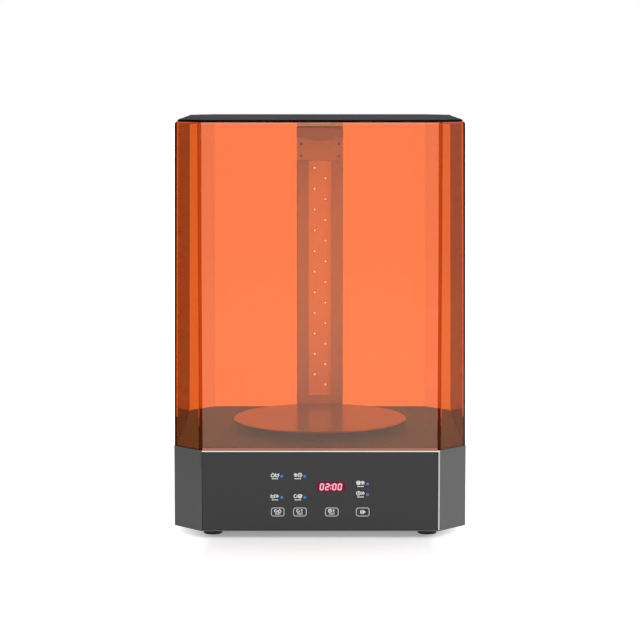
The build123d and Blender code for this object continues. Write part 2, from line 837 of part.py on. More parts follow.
def motor():
    """A square stepping motor: two end caps on a core, a pilot on top and its plug at one side."""
    bottom, top = motor_bottom, motor_top
    cap = chamfer(Rectangle(motor_size, motor_size).vertices(), motor_corner)
    core_size = motor_size - 2 * motor_core_inset
    core = chamfer(Rectangle(core_size, core_size).vertices(), motor_corner)
    body = slab(cap, bottom, bottom + motor_cap_length)
    body += slab(core, bottom + motor_cap_length, top - motor_cap_length)
    body += slab(cap, top - motor_cap_length, top)
    body += rod(0, 0, top, top + motor_pilot_height, motor_pilot_diameter)
    half = motor_size / 2
    plug = motor_cap_length
    body += block(-plug, plug, half, half + plug * 0.7, bottom, bottom + plug * 0.8)
    bore = motor_shaft_diameter + 2 * run_gap
    body -= rod(0, 0, top - motor_shaft_depth, top + motor_pilot_height, bore)
    for x, y in corners(motor_screw_pitch / 2, motor_screw_pitch / 2):
        body -= rod(x, y, top - motor_cap_length / 2, top, screw_diameter + 2 * press_gap)
    return body


def motor_bracket():
    """The plate that carries the motor under the deck."""
    outline = fillet(Rectangle(bracket_size, bracket_size).vertices(), bracket_round)
    outline -= Circle(motor_pilot_diameter / 2 + trim_gap)
    for x, y in corners(motor_screw_pitch / 2, motor_screw_pitch / 2):
        outline -= Pos(x, y) * Circle(screw_hole_diameter / 2)
    for x, y in corners(motor_post_pitch / 2, motor_post_pitch / 2):
        outline -= Pos(x, y) * Circle(screw_hole_diameter / 2)
    return slab(outline, bracket_top - bracket_thickness, bracket_top)


def motor_posts():
    """Four hexagonal posts between bracket and deck, with a stud at the top of each."""
    hexagon = RegularPolygon(motor_post_diameter / 2, 6)
    post = slab(hexagon, bracket_top, deck_pad_bottom)
    post += rod(0, 0, deck_pad_bottom, base_top, screw_diameter)
    post -= rod(0, 0, bracket_top, bracket_top + motor_cap_length, screw_diameter + 2 * press_gap)
    places = corners(motor_post_pitch / 2, motor_post_pitch / 2)
    return group(Pos(x, y, 0) * post for x, y in places)


def motor_screws():
    """Screws from above into the motor, and from below into the posts."""
    into_motor = pan_screw(bracket_thickness + motor_cap_length / 2 - fit_gap)
    into_post = Rot(180, 0, 0) * pan_screw(bracket_thickness + motor_cap_length - fit_gap)
    screws = [
        Pos(x, y, bracket_top) * into_motor
        for x, y in corners(motor_screw_pitch / 2, motor_screw_pitch / 2)
    ]
    screws += [
        Pos(x, y, bracket_top - bracket_thickness) * into_post
        for x, y in corners(motor_post_pitch / 2, motor_post_pitch / 2)
    ]
    return group(screws)


def drive_hub():
    """The hub on the spindle: a disc with a centring spigot, a collar below and magnet pockets."""
    bore = spindle_diameter / 2 + press_gap
    collar = hub_collar_diameter / 2
    disc = hub_diameter / 2
    spigot = spigot_diameter / 2
    hub = turned([
        (bore, hub_seat), (collar, hub_seat), (collar, hub_bottom), (disc, hub_bottom),
        (disc, hub_top), (spigot, hub_top), (spigot, spigot_top - 1), (spigot - 1, spigot_top),
        (0, spigot_top), (0, hub_top), (bore, hub_top),
    ])
    for x, y in magnet_places():
        hub -= rod(x, y, hub_top - magnet_thickness, hub_top, magnet_diameter + 2 * press_gap)
    for x, y in drive_pin_places():
        hub -= rod(x, y, hub_bottom, hub_top, drive_pin_diameter + 2 * press_gap)
    return hub


def magnet_places():
    """Where the coupling magnets of hub and turntable lie."""
    return ring_places(magnet_circle)


def drive_pin_places():
    """Where the two driving pins stand."""
    return ring_places(drive_pin_circle, count=2, start=0.0)


def hub_magnets():
    """Magnets set into the top of the hub."""
    return group(
        rod(x, y, hub_top - magnet_thickness, hub_top, magnet_diameter) for x, y in magnet_places()
    )


def drive_pins():
    """Two pins that stand out of the hub and turn the turntable."""
    return group(
        rod(x, y, hub_bottom, turntable_bottom - fit_gap, drive_pin_diameter)
        for x, y in drive_pin_places()
    )


def turntable_disc():
    """The round bright plate, its edges broken, with a blind hole over the spigot."""
    top = turntable_bottom + turntable_thickness
    radius = turntable_radius
    edge = turntable_edge
    spigot_room = spigot_diameter / 2 + run_gap
    ceiling = spigot_top + fit_gap
    disc = turned([
        (spigot_room, turntable_bottom), (radius - edge, turntable_bottom),
        (radius, turntable_bottom + edge), (radius, top - edge), (radius - edge, top), (0, top),
        (0, ceiling), (spigot_room, ceiling),
    ])
    for x, y in boss_screw_places():
        disc -= rod(x, y, turntable_bottom, turntable_bottom + turntable_thickness / 2, pilot_diameter)
    return disc


def boss_screw_places():
    """Where the boss is screwed to the turntable."""
    return ring_places(boss_screw_circle, start=0.0)


def turntable_boss():
    """The plate under the turntable that fits over the hub's spigot and pins."""
    outline = Circle(hub_diameter / 2) - Circle(spigot_diameter / 2 + run_gap)
    for x, y in drive_pin_places():
        outline -= Pos(x, y) * Circle(drive_pin_diameter / 2 + slide_gap)
    boss = slab(outline, boss_bottom, turntable_bottom)
    for x, y in magnet_places():
        boss -= rod(x, y, boss_bottom, boss_bottom + magnet_thickness, magnet_diameter + 2 * press_gap)
    for x, y in boss_screw_places():
        boss -= rod(x, y, boss_bottom, turntable_bottom, pilot_diameter)
        boss -= rod(x, y, boss_bottom, boss_bottom + boss_screw_sink(), boss_screw_head() + 2 * press_gap)
    return boss


def boss_screw_sink():
    """Depth of the sunk heads of the boss screws."""
    return boss_thickness / 2


def boss_screw_head():
    """Diameter of the sunk heads of the boss screws."""
    return screw_head_diameter * 0.8


def turntable_magnets():
    """Magnets set into the underside of the boss."""
    return group(
        rod(x, y, boss_bottom, boss_bottom + magnet_thickness, magnet_diameter)
        for x, y in magnet_places()
    )


def turntable_screws():
    """Low screws from below through the boss into the turntable."""
    grip = boss_thickness - boss_screw_sink() + turntable_thickness / 2 - slide_gap
    screw = Rot(180, 0, 0) * pan_screw(
        grip, head_diameter=boss_screw_head(), head_height=boss_screw_sink(),
        diameter=pilot_diameter - 2 * press_gap,
    )
    return group(Pos(x, y, boss_bottom + boss_screw_sink()) * screw for x, y in boss_screw_places())


def column_screw_places():
    """Where the light column is screwed to the deck."""
    half = foot_screw_spread / 2
    return [(x, column_middle + y) for x, y in corners(foot_screw_x, half)]


def column_channel():
    """The folded channel of the light column, open at the front between two lips."""
    outline = Pos(0, column_front + column_depth / 2) * Rectangle(column_width, column_depth)
    hollow = Pos(0, column_front + column_depth / 2) * Rectangle(
        column_width - 2 * column_wall, column_depth - 2 * column_wall
    )
    mouth = Pos(0, column_front) * Rectangle(2 * mouth_half, 4 * column_wall)
    section = outline - hollow - mouth
    for side in (-1, 1):
        rib_x = side * (column_half - column_wall - guide_rib_depth / 2)
        rib_y = guide_rib_front + guide_rib_depth / 2
        rib = Pos(rib_x, rib_y) * Rectangle(guide_rib_depth, guide_rib_depth)
        section += rib
    channel = slab(section, deck_top, column_top)
    for x in (-foot_screw_x, foot_screw_x):
        z = back_screw_level()
        channel -= cross_rod(x, z, column_back - column_wall, column_back, screw_hole_diameter)
    for x, z in head_screw_places():
        channel -= cross_rod(x, z, column_front, column_front + column_wall, head_screw_diameter)
    return channel


def back_screw_level():
    """Height of the screws through the back of the column."""
    return deck_top + foot_block_height / 2


def head_screw_places():
    """Where the head plate is screwed to the column."""
    x = column_half - head_screw_inset
    return [(side * x, column_top - drop) for side in (-1, 1) for drop in head_screw_drops]


def column_foot():
    """The block inside the foot of the column that its screws bite into."""
    half = column_half - column_wall - fit_gap
    front, back = column_room_front, column_room_back
    foot = block(-half, half, front, back, deck_top, deck_top + foot_block_height)
    for x, y in column_screw_places():
        foot -= rod(x, y, deck_top, deck_top + column_screw_grip, screw_diameter + 2 * press_gap)
    for x in (-foot_screw_x, foot_screw_x):
        grip = column_screw_grip / 2
        foot -= cross_rod(x, back_screw_level(), back - grip, back, screw_diameter + 2 * press_gap)
    foot -= rod(0, column_middle, deck_top, deck_top + foot_block_height, cable_hole_diameter)
    return foot


def column_screws():
    """Screws from below into the column's foot, and from behind through the channel."""
    length = column_screw_grip + deck_thickness + roof_thickness - fit_gap
    up = Rot(180, 0, 0) * pan_screw(length)
    screws = [Pos(x, y, roof_bottom) * up for x, y in column_screw_places()]
    forward = Rot(-90, 0, 0) * pan_screw(column_wall + column_screw_grip / 2 - fit_gap)
    screws += [Pos(x, column_back, back_screw_level()) * forward for x in (-foot_screw_x, foot_screw_x)]
    return group(screws)


def column_face():
    """The front of the column, with a raised border round its window and snap ribs behind."""
    half = column_half - face_inset
    low = deck_top + slide_gap
    high = column_top - head_height - head_gap
    front = column_front - face_thickness
    face = block(-half, half, front, column_front, low, high)
    bead = window_width / 2 + bead_border
    face += block(-bead, bead, front - bead_height, front, window_low - bead_border, high)
    rib_outer = mouth_half - fit_gap
    rib_inner = rib_outer - snap_rib_thickness
    rib_low = deck_top + foot_block_height
    for side in (-1, 1):
        near, far = sorted((side * rib_inner, side * rib_outer))
        rib_back = column_front + snap_rib_depth
        face += block(near, far, column_front, rib_back, rib_low, high - face_thickness)
    window_half = window_width / 2
    face -= block(
        -window_half, window_half, front - bead_height, column_front, window_low, window_high
    )
    return face


def column_head():
    """The plain plate at the top of the column."""
    front = column_front - head_thickness
    head = block(-column_half, column_half, front, column_front, column_top - head_height, column_top)
    for x, z in head_screw_places():
        head -= cross_rod(x, z, front, column_front, head_screw_diameter + 2 * press_gap)
    return head


def head_screws():
    """Four small screws in the head plate."""
    grip = head_thickness + column_wall - fit_gap
    screw = Rot(90, 0, 0) * pan_screw(
        grip, head_diameter=head_screw_head_diameter, head_height=head_screw_head_height,
        diameter=head_screw_diameter - 2 * press_gap,
    )
    return group(Pos(x, column_front - head_thickness, z) * screw for x, z in head_screw_places())


def column_cap():
    """The cap on the column: a rounded block, a plug below and a lip with a bowed lower edge."""
    half = column_half
    top = column_top
    lip_back = column_front - head_thickness
    front = lip_back - cap_lip_thickness
    back = column_back
    cap = block(-half, half, front, back, top, top + cap_height)
    cap = fillet(cap.edges().group_by(Axis.Z)[-1], cap_round)
    for side in (-1, 1):
        near, far = sorted((side * (half - cap_notch_width), side * half))
        cap -= block(near, far, front, column_front, top, top + cap_notch_height)
    plug_half = half - column_wall - fit_gap
    plug_front = column_room_front
    plug_back = back - column_wall - fit_gap
    cap += block(-plug_half, plug_half, plug_front, plug_back, top - cap_plug_depth, top)
    chord = cap_lip_width / 2
    low, high = top - cap_lip_low, top - cap_lip_high
    edge = ThreePointArc((-chord, high), (0, low), (chord, high))
    sides = Polyline((chord, high), (chord, top + 1), (-chord, top + 1), (-chord, high))
    cap += upright(make_face([edge, sides]), front, lip_back)
    return cap


def led_board_front():
    """Depth of the front of the lamp board."""
    return heatsink_front - board_thickness


def led_board():
    """The long lamp board, on the front of the heat sink."""
    half = led_board_width / 2
    low = window_low - led_board_border
    high = window_high + led_board_border
    return block(-half, half, led_board_front(), heatsink_front, low, high)


def led_emitters():
    """Two staggered rows of lamps down the board, each a square base with a round lens."""
    front = led_board_front()
    lamps = []
    count = int((window_high - window_low - 2 * led_end_gap) / led_step) + 1
    for i in range(count):
        x = led_offset if i % 2 else -led_offset
        z = window_high - led_end_gap - i * led_step
        half = led_size / 2
        lamp = block(x - half, x + half, front - led_thickness, front, z - half, z + half)
        lens_front = front - led_thickness - led_lens_height
        lamp += cross_rod(x, z, lens_front, front - led_thickness, led_lens_diameter)
        lamps.append(lamp)
    return group(lamps)


def led_heatsink():
    """The finned bar behind the lamp board, held between the lips and ribs of the channel."""
    half = column_half - column_wall - fit_gap
    front = heatsink_front
    back = front + heatsink_thickness
    section = Pos(0, (front + back) / 2) * Rectangle(2 * half, heatsink_thickness)
    for i in range(heatsink_fin_count):
        x = (i - (heatsink_fin_count - 1) / 2) * heatsink_fin_pitch
        fin = Rectangle(heatsink_fin_thickness, heatsink_fin_depth)
        section += Pos(x, back + heatsink_fin_depth / 2) * fin
    low = deck_top + foot_block_height + heatsink_end
    high = column_top - cap_plug_depth - heatsink_end
    return slab(section, low, high)


def hood_body(inset, rounding, top):
    """The hood's plan moved in by inset, raised from its bottom edge with the draft of its sides."""
    lean = degrees(atan2(hood_draft, hood_top - hood_bottom))
    return Pos(0, 0, hood_bottom) * extrude(octagon(inset, rounding), top - hood_bottom, taper=lean)


def hood_shell():
    """The clear hood: an octagonal tube with a thin roof, its upper edge rounded, open below."""
    outer = hood_body(hood_inset, hood_round, hood_top)
    outer = fillet(outer.edges().group_by(Axis.Z)[-1], hood_top_round)
    shell = outer - hood_body(hood_inset + hood_wall, 0, hood_ceiling)
    inside = hood_inside
    half = magnet_pad_width / 2
    low = deck_top + magnet_pad_rise
    shell += block(-half, half, inside - magnet_pad_thickness, inside, low, low + magnet_pad_height)
    shell -= cross_rod(
        0, hood_magnet_level(), inside - magnet_pad_thickness,
        inside - magnet_pad_thickness + hood_magnet_thickness, hood_magnet_diameter + 2 * press_gap,
    )
    return shell


def hood_magnet_level():
    """Height of the middle of the magnet in the hood's rear wall."""
    return deck_top + magnet_pad_rise + magnet_pad_height / 2


def hood_magnet():
    """The magnet that tells the sensor in the base that the hood is on."""
    face = hood_inside - magnet_pad_thickness
    return cross_rod(0, hood_magnet_level(), face, face + hood_magnet_thickness, hood_magnet_diameter)


def hood_top_plate():
    """The dark plate bonded on top of the hood."""
    outline = octagon(hood_inset + hood_draft + top_plate_inset)
    plate = slab(outline, hood_top, hood_top + top_plate_thickness)
    return chamfer(plate.edges().group_by(Axis.Z)[-1], top_plate_edge)


def hood_sensor():
    """The magnet sensor under the roof of the base, below the hood's magnet."""
    back = rear_face - base_wall - fit_gap
    half = sensor_width / 2
    return block(-half, half, back - sensor_depth, back, roof_bottom - sensor_height, roof_bottom)


def pocket_floor():
    """Depth of the floor of the recess at the rear."""
    return rear_face - rear_recess_depth


def rocker_pivot():
    """Depth of the rocker's pivot."""
    return pocket_floor() + switch_bezel_thickness - rocker_face + rocker_gap / 2


def rocker_room_width():
    """Width of the room round the rocker."""
    return rocker_width + 2 * trim_gap


def rocker_pocket():
    """Half the height of the room round the rocker, which clears it as it swings."""
    swing = radians(rocker_throw / 2)
    return rocker_half_height * cos(swing) + rocker_face * sin(swing) + fit_gap


def switch_housing():
    """The body of the power switch: a bezel in the recess and a box through the wall."""
    floor = pocket_floor()
    top = floor + switch_bezel_thickness
    room = Pos(switch_x, rear_recess_z) * Rectangle(rocker_room_width(), 2 * rocker_pocket())
    body = offset(room, switch_wall, kind=Kind.INTERSECTION)
    bezel = offset(body, switch_bezel_rim, kind=Kind.INTERSECTION)
    housing = upright(bezel, floor, top) + upright(body, floor - switch_body_depth, floor)
    housing -= upright(room, rocker_pivot() - rocker_back - 1, top)
    pin = rocker_width / 2 + rocker_pin_reach + fit_gap / 3
    pin_hole = Rot(0, 90, 0) * Cylinder(rocker_pin_diameter / 2 + run_gap, 2 * pin)
    housing -= Pos(switch_x, rocker_pivot(), rear_recess_z) * pin_hole
    return housing


def switch_rocker():
    """The rocker, on at its upper end: two faces that meet in a shallow valley, and two pins."""
    far = rocker_half_height
    shoulder = rocker_face - rocker_back
    outline = [
        (rocker_valley, 0), (rocker_face, far), (shoulder - 1, far), (-rocker_back, far / 2),
        (-rocker_back, -far / 2), (shoulder - 1, -far), (rocker_face, -far),
    ]
    profile = Plane.YZ * make_face(Polyline(*outline, close=True))
    rocker = extrude(profile, rocker_width / 2, both=True)
    pin = rocker_width / 2 + rocker_pin_reach
    rocker += Rot(0, 90, 0) * Cylinder(rocker_pin_diameter / 2, 2 * pin)
    return Pos(switch_x, rocker_pivot(), rear_recess_z) * Rot(rocker_throw / 2, 0, 0) * rocker


def power_socket():
    """The round low-voltage inlet: a flange in the recess, a barrel inside and its centre pin."""
    flange = socket_flange_diameter / 2
    body = socket_body_diameter / 2
    bore = socket_bore_diameter / 2
    pin = socket_pin_diameter / 2
    floor_level = socket_flange_thickness - socket_bore_depth
    socket = turned([
        (0, -socket_body_depth), (body, -socket_body_depth), (body, 0), (flange, 0),
        (flange, socket_flange_thickness), (bore, socket_flange_thickness), (bore, floor_level),
        (pin, floor_level), (pin, -1), (0, -1),
    ])
    return Pos(socket_x, pocket_floor(), rear_recess_z) * Rot(-90, 0, 0) * socket


def control_board_corners():
    """Where the control board stands on the bottom plate."""
    x = control_board_width / 2 - control_board_inset
    y = control_board_depth / 2 - control_board_inset
    return [(control_board_x + dx, control_board_y + dy) for dx, dy in corners(x, y)]


def control_board():
    """The control board with its terminals, capacitors, driver and processor."""
    low = floor_top + board_standoff_height
    top = low + board_thickness
    left = control_board_x - control_board_width / 2
    front = control_board_y - control_board_depth / 2
    board = block(
        left, left + control_board_width, front, front + control_board_depth, low, top
    )
    back = front + control_board_depth
    for i in range(terminal_count):
        x = left + board_part_start + i * terminal_pitch
        board += block(
            x - terminal_width / 2, x + terminal_width / 2,
            back - terminal_edge - terminal_depth, back - terminal_edge, top, top + terminal_height,
        )
    for i in range(capacitor_count):
        x = left + board_part_start + i * capacitor_pitch
        board += rod(x, back - capacitor_row, top, top + capacitor_height, capacitor_diameter)
    chips = [(driver_x, driver_size, driver_height), (processor_x, processor_size, processor_height)]
    for x, size, height in chips:
        board += Pos(left + x, front + chip_row, top + height / 2) * Box(size, size, height)
    for x, y in control_board_corners():
        board -= rod(x, y, low, top, screw_hole_diameter)
    return board


fixed_pieces = [
    base_shell, bottom_plate, feet, foot_screws, bottom_screws, front_trim, front_panel, display_lens,
    display_module, indicator_lights, touch_board, touch_pads, control_board, board_screws, deck_plate,
    deck_screws, bearing_housing, housing_screws, bearing_outer_rings, motor, motor_bracket, motor_posts,
    motor_screws, hood_sensor, switch_housing, power_socket, column_channel, column_foot,
    column_screws, column_face, column_head, head_screws, column_cap, led_board, led_emitters,
    led_heatsink,
]
moving_pieces = [
    motor_shaft, shaft_coupling, spindle, bearing_inner_rings, spindle_circlip, drive_hub, hub_magnets,
    drive_pins, turntable_disc, turntable_boss, turntable_magnets, turntable_screws, hood_shell,
    hood_top_plate, hood_magnet, switch_rocker,
]

os.makedirs("parts", exist_ok=True)
for piece in fixed_pieces + moving_pieces:
    export_step(piece(), f"parts/{piece.__name__}.step")
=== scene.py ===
"""Finishes, panel marks and studio for a resin wash and cure station.

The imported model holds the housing, panel, hood, turntable, lamp column and drive at their real
size. This script gives each of them its finish, adds the thin printed and lit marks that lie on
them, and sets up a white studio with a camera in front.
"""
import math

import bpy
import numpy as np
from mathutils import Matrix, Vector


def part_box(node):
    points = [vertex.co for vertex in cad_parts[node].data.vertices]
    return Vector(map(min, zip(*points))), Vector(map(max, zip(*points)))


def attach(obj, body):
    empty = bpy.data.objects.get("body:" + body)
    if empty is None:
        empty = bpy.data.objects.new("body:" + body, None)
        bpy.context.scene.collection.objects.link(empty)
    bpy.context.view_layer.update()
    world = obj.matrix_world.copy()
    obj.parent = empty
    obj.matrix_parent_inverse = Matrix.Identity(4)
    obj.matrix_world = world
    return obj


bl_info = {
    "name": "Resin Wash and Cure Station",
    "version": (1, 0, 0),
    "blender": (4, 5, 0),
    "location": "View3D > Sidebar > Station",
    "description": "Finishes, panel marks and studio for a resin wash and cure station",
    "category": "Object",
}

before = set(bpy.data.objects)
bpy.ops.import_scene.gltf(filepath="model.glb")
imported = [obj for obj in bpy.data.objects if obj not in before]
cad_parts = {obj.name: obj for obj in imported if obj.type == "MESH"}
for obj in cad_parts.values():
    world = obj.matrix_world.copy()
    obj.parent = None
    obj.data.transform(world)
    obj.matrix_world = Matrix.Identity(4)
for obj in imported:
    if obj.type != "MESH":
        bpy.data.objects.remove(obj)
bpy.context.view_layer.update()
panel_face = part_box("front_panel")[0].y
lens_low, lens_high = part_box("display_lens")
board_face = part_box("led_board")[0].y
lamp_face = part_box("led_emitters")[0].y
MM = 0.001

# Directions of a mark on a face: across it, up it and out of it
FRONT = ((1, 0, 0), (0, 0, 1), (0, -1, 0))
REAR = ((-1, 0, 0), (0, 0, 1), (0, 1, 0))


# Sizes, colours and studio settings

def length(name, description, default):
    """A length in metres that the sidebar shows in the scene's unit."""
    return bpy.props.FloatProperty(
        name=name, description=description, default=default, min=0, unit="LENGTH", precision=5
    )


def colour(name, description, default):
    """A colour that the sidebar shows as a swatch."""
    return bpy.props.FloatVectorProperty(
        name=name, description=description, default=default, size=3, min=0, max=1, subtype="COLOR"
    )


def factor(name, description, default):
    """A share from 0 to 1."""
    return bpy.props.FloatProperty(
        name=name, description=description, default=default, min=0, max=1, subtype="FACTOR"
    )


class StationMarks(bpy.types.PropertyGroup):
    """Sizes of what is printed, lit or soldered on the pieces, and of the hood's edges."""

    ink: length("Ink", "Thickness of a printed mark", 0.07 * MM)
    line: length("Line", "Width of a printed line", 0.75 * MM)
    key_line: length("Key line", "Width of a touch key's outline", 0.8 * MM)
    key_width: length("Key width", "Outer width of a touch key's outline", 14.0 * MM)
    key_height: length("Key height", "Outer height of a touch key's outline", 9.4 * MM)
    key_corner: length("Key corner", "Corner radius of a touch key's outline", 2.2 * MM)
    symbol: length("Symbol", "Height of a symbol beside a light", 3.9 * MM)
    symbol_offset: length("Symbol offset", "From a light to the middle of its symbols", 7.2 * MM)
    key_symbol: length("Key symbol", "Height of a symbol in a key", 3.3 * MM)
    start_symbol: length("Start symbol", "Size of the symbol in the last key", 5.2 * MM)
    light_dome: length("Light dome", "Diameter of the clear dome on a small light", 2.7 * MM)
    light_rise: length("Light rise", "How far that dome stands out", 0.15 * MM)
    digit_height: length("Digit height", "Height of a digit in the display", 7.4 * MM)
    digit_width: length("Digit width", "Width of a digit, without its slant", 4.5 * MM)
    digit_pitch: length("Digit pitch", "From one digit to the next", 5.7 * MM)
    digit_gap: length("Digit gap", "What the two dots add in the middle", 1.6 * MM)
    digit_stroke: length("Digit stroke", "Width of a lit bar of a digit", 1.35 * MM)
    digit_slant: factor("Digit slant", "How far a digit leans, as a share of its height", 0.08)
    bend_width: length("Bend", "Width of the hood's bend beside its front face", 2.9 * MM)
    side_bend_width: length("Side bend", "Width of the hood's bend beside its side face", 1.2 * MM)
    # The rim sizes are of a bar whose colour is a painted highlight along the hood's lower edge
    rim_height: length("Rim height", "Height of the bright line along the hood's lower edge", 2.7 * MM)
    rim_rise: length("Rim rise", "How far that line stands out", 0.06 * MM)
    pad_width: length("Solder pad width", "Across a solder pad beside a lamp", 0.9 * MM)
    pad_height: length("Solder pad height", "Along a solder pad beside a lamp", 2.4 * MM)
    pad_offset: length("Solder pad offset", "From a lamp's middle to a solder pad's", 2.15 * MM)
    pad_corner: length("Solder pad corner", "Corner radius of a solder pad", 0.2 * MM)
    trace_width: length("Trace", "Width of the copper lines under the lacquer", 1.0 * MM)
    switch_symbol: length("Switch symbol", "Height of the marks on the power switch", 3.4 * MM)
    switch_line: length("Switch line", "Width of a line of those marks", 0.7 * MM)


class StationColours(bpy.types.PropertyGroup):
    """Base colours of the finishes."""

    housing: colour("Housing", "Satin moulding of the base", (0.083, 0.083, 0.084))
    panel: colour("Panel", "Dark sheet of the touch panel", (0.0152, 0.0152, 0.015))
    trim: colour("Trim", "Bright edge round the panel", (0.56, 0.545, 0.535))
    deck: colour("Deck", "Plate under the turntable", (0.045, 0.048, 0.05))
    turntable: colour("Turntable", "Polished disc", (0.19, 0.19, 0.195))
    column: colour("Column", "Painted lamp column", (0.53, 0.535, 0.55))
    lamp_board: colour("Lamp board", "Lacquered board of the lamps", (0.81, 0.79, 0.78))
    hood: colour("Hood", "What a face of the hood lets straight through", (1.0, 0.63, 0.367))
    hood_slanted: colour("Hood, slanted", "What it lets through at a glancing angle", (0.36, 0.03, 0.003))
    hood_light: colour("Light in the hood", "What a face lets through to what it lights", (1.0, 0.73, 0.7))
    # The bends' colour is partly the sheet's own tint and partly painted shade, deeper than a flat face
    hood_bend_tint_and_shade: colour("Hood, bends", "What a bend of the hood lets through", (0.8, 0.4, 0.195))
    # A painted highlight: the bar's colour stands in for light caught on the hood's polished lower edge
    painted_rim_highlight: colour("Hood rim", "Polished lower edge of the hood", (0.36, 0.14, 0.088))
    top_plate: colour("Top plate", "Dark plate on the hood", (0.005, 0.005, 0.005))
    rubber: colour("Rubber", "Feet and touch pads", (0.012, 0.012, 0.012))
    ink: colour("Ink", "Printed marks", (0.9, 0.9, 0.9))
    key_ink: colour("Key ink", "Outlines of the keys", (0.55, 0.55, 0.55))
    digits: colour("Digits", "Lit bars of the display", (1.0, 0.5, 0.6))
    display: colour("Display", "Tinted window round the digits", (0.42, 0.004, 0.045))
    display_rim: colour("Display rim", "The same at its rim", (0.13, 0.0005, 0.014))
    indicator: colour("Indicator", "Small lights of the panel", (0.07, 0.19, 0.6))


class StationStudio(bpy.types.PropertyGroup):
    """Camera and light."""

    distance: length("Distance", "From the camera to the middle of the base, level", 2.2801)
    eye: length("Eye", "Height of the camera", 0.4855)
    tilt: bpy.props.FloatProperty(
        name="Tilt", description="How far the camera looks down", default=math.radians(6.8408),
        subtype="ANGLE",
    )
    lens: bpy.props.FloatProperty(
        name="Lens", description="Focal length on a 36 mm sensor", default=117.67, min=1,
        subtype="DISTANCE_CAMERA",
    )
    key: bpy.props.FloatProperty(
        name="Key", description="Power of the large lamp at the right", default=48, subtype="POWER"
    )
    fill: bpy.props.FloatProperty(
        name="Fill", description="Power of the lamp at the left", default=1, subtype="POWER"
    )
    ambient: factor("Ambient", "Strength of the light from all around", 0.86)
    floor_glow: factor("Floor glow", "What the floor shows beside the light that falls on it", 0.3)
    far_glow: factor("Far glow", "The same, away from the object", 0.8)
    overhead: bpy.props.FloatProperty(
        name="Overhead", description="How much brighter gloss sees the studio overhead", default=1.2,
        min=0,
    )


def marks():
    """The sizes of the marks in the scene."""
    return bpy.context.scene.station_marks


def shade(name):
    """One of the base colours, with an alpha of 1."""
    return (*getattr(bpy.context.scene.station_colours, name), 1)


# Shapes, worked out on faces with the directions across, up and out

def quads(rows, columns, loop_rows=False, loop_columns=True):
    """Corner numbers of the quads of a grid of points, closed in either direction where asked."""
    row, column = np.meshgrid(
        np.arange(rows - (not loop_rows)), np.arange(columns - (not loop_columns)), indexing="ij"
    )
    here, over = row * columns, (row + 1) % rows * columns
    ahead = (column + 1) % columns
    return np.stack([here + column, here + ahead, over + ahead, over + column], -1).reshape(-1, 4)


def fan(ring, pole, turn):
    """Triangles from the points numbered in ring to the point numbered pole, flipped where turn."""
    ahead = np.roll(ring, 1 if turn else -1)
    return np.stack([ring, ahead, np.full(len(ring), pole)], -1)


def mound(outline, centre, levels):
    """A closed solid on an outline: the outline shrinks towards its centre and rises.

    outline is a closed counter-clockwise loop of (across, up). levels is a list of (share, height):
    ring i is centre + share_i * (outline - centre) at height_i, and both ends close on the centre.
    """
    share, height = np.array(levels, float).T
    outline, centre = np.asarray(outline, float), np.asarray(centre, float)
    flat = centre + share[:, None, None] * (outline - centre)
    rise = np.broadcast_to(height[:, None, None], (*flat.shape[:2], 1))
    rings = np.concatenate([flat, rise], -1).reshape(-1, 3)
    poles = [[*centre, height[0]], [*centre, height[-1]]]
    count, around = len(rings), len(outline)
    first, last = np.arange(around), np.arange(count - around, count)
    faces = [*quads(len(share), around), *fan(first, count, True), *fan(last, count + 1, False)]
    return np.vstack([rings, poles]), faces


def plate(outline, centre, thickness, start=0.0):
    """A thin printed or soldered patch whose upper edge is eased."""
    eased = 0.6 * thickness
    return mound(outline, centre, [(1, start), (1, start + eased), (0.95, start + thickness)])


def stroke(path, width, thickness, loop=False):
    """A printed line: a low section with eased edges, carried along a path in the face.

    At each point the section stands square to the path's direction, the mean of its two sides, and
    is widened by one over the cosine of half the turn, so that the line keeps its width.
    """
    path = np.asarray(path, float)
    ahead = np.roll(path, -1, 0) - path
    if not loop:
        ahead[-1] = ahead[-2]
    ahead /= np.linalg.norm(ahead, axis=1, keepdims=True)
    behind = np.roll(ahead, 1, 0)
    if not loop:
        behind[0] = ahead[0]
    along = ahead + behind
    along /= np.linalg.norm(along, axis=1, keepdims=True)
    widen = 1 / np.maximum((along * ahead).sum(1), 0.4)
    side = np.stack([along[:, 1], -along[:, 0]], -1) * widen[:, None]
    across = np.array([0.5, 0.5, 0.42, -0.42, -0.5, -0.5]) * width
    rise = np.array([0, 0.6, 1, 1, 0.6, 0]) * thickness
    flat = path[:, None, :] + across[None, :, None] * side[:, None, :]
    points = np.concatenate([flat, np.broadcast_to(rise[None, :, None], (*flat.shape[:2], 1))], -1)
    rows, columns = points.shape[:2]
    points = points.reshape(-1, 3)
    faces = list(quads(rows, columns, loop_rows=loop))
    if not loop:
        faces += [tuple(range(columns))[::-1], tuple(range(len(points) - columns, len(points)))]
    return points, faces


def circle(centre, radius, count=28, start=0.0, sweep=2 * math.pi):
    """Points on an arc about a centre, counter-clockwise. A full turn leaves out its last point."""
    full = abs(sweep - 2 * math.pi) < 1e-9
    angle = start + sweep * np.arange(count) / (count if full else count - 1)
    return np.asarray(centre) + radius * np.stack([np.cos(angle), np.sin(angle)], -1)


def rounded(centre, width, height, radius, count=7):
    """A rectangle with round corners: a quarter circle about each corner's centre, in turn."""
    reach = np.array([width / 2 - radius, height / 2 - radius])
    turns = []
    for quarter, sign in enumerate([(1, 1), (-1, 1), (-1, -1), (1, -1)]):
        middle = np.asarray(centre) + reach * sign
        turns.append(circle(middle, radius, count, quarter * math.pi / 2, math.pi / 2))
    return np.vstack(turns)


def bar_outline(centre, size, width, angle=0.0):
    """A bar with round ends, turned by an angle about its centre."""
    flat = rounded((0, 0), size, width, width * 0.49, 5)
    c, s = math.cos(angle), math.sin(angle)
    return np.asarray(centre) + flat @ np.array([[c, s], [-s, c]])


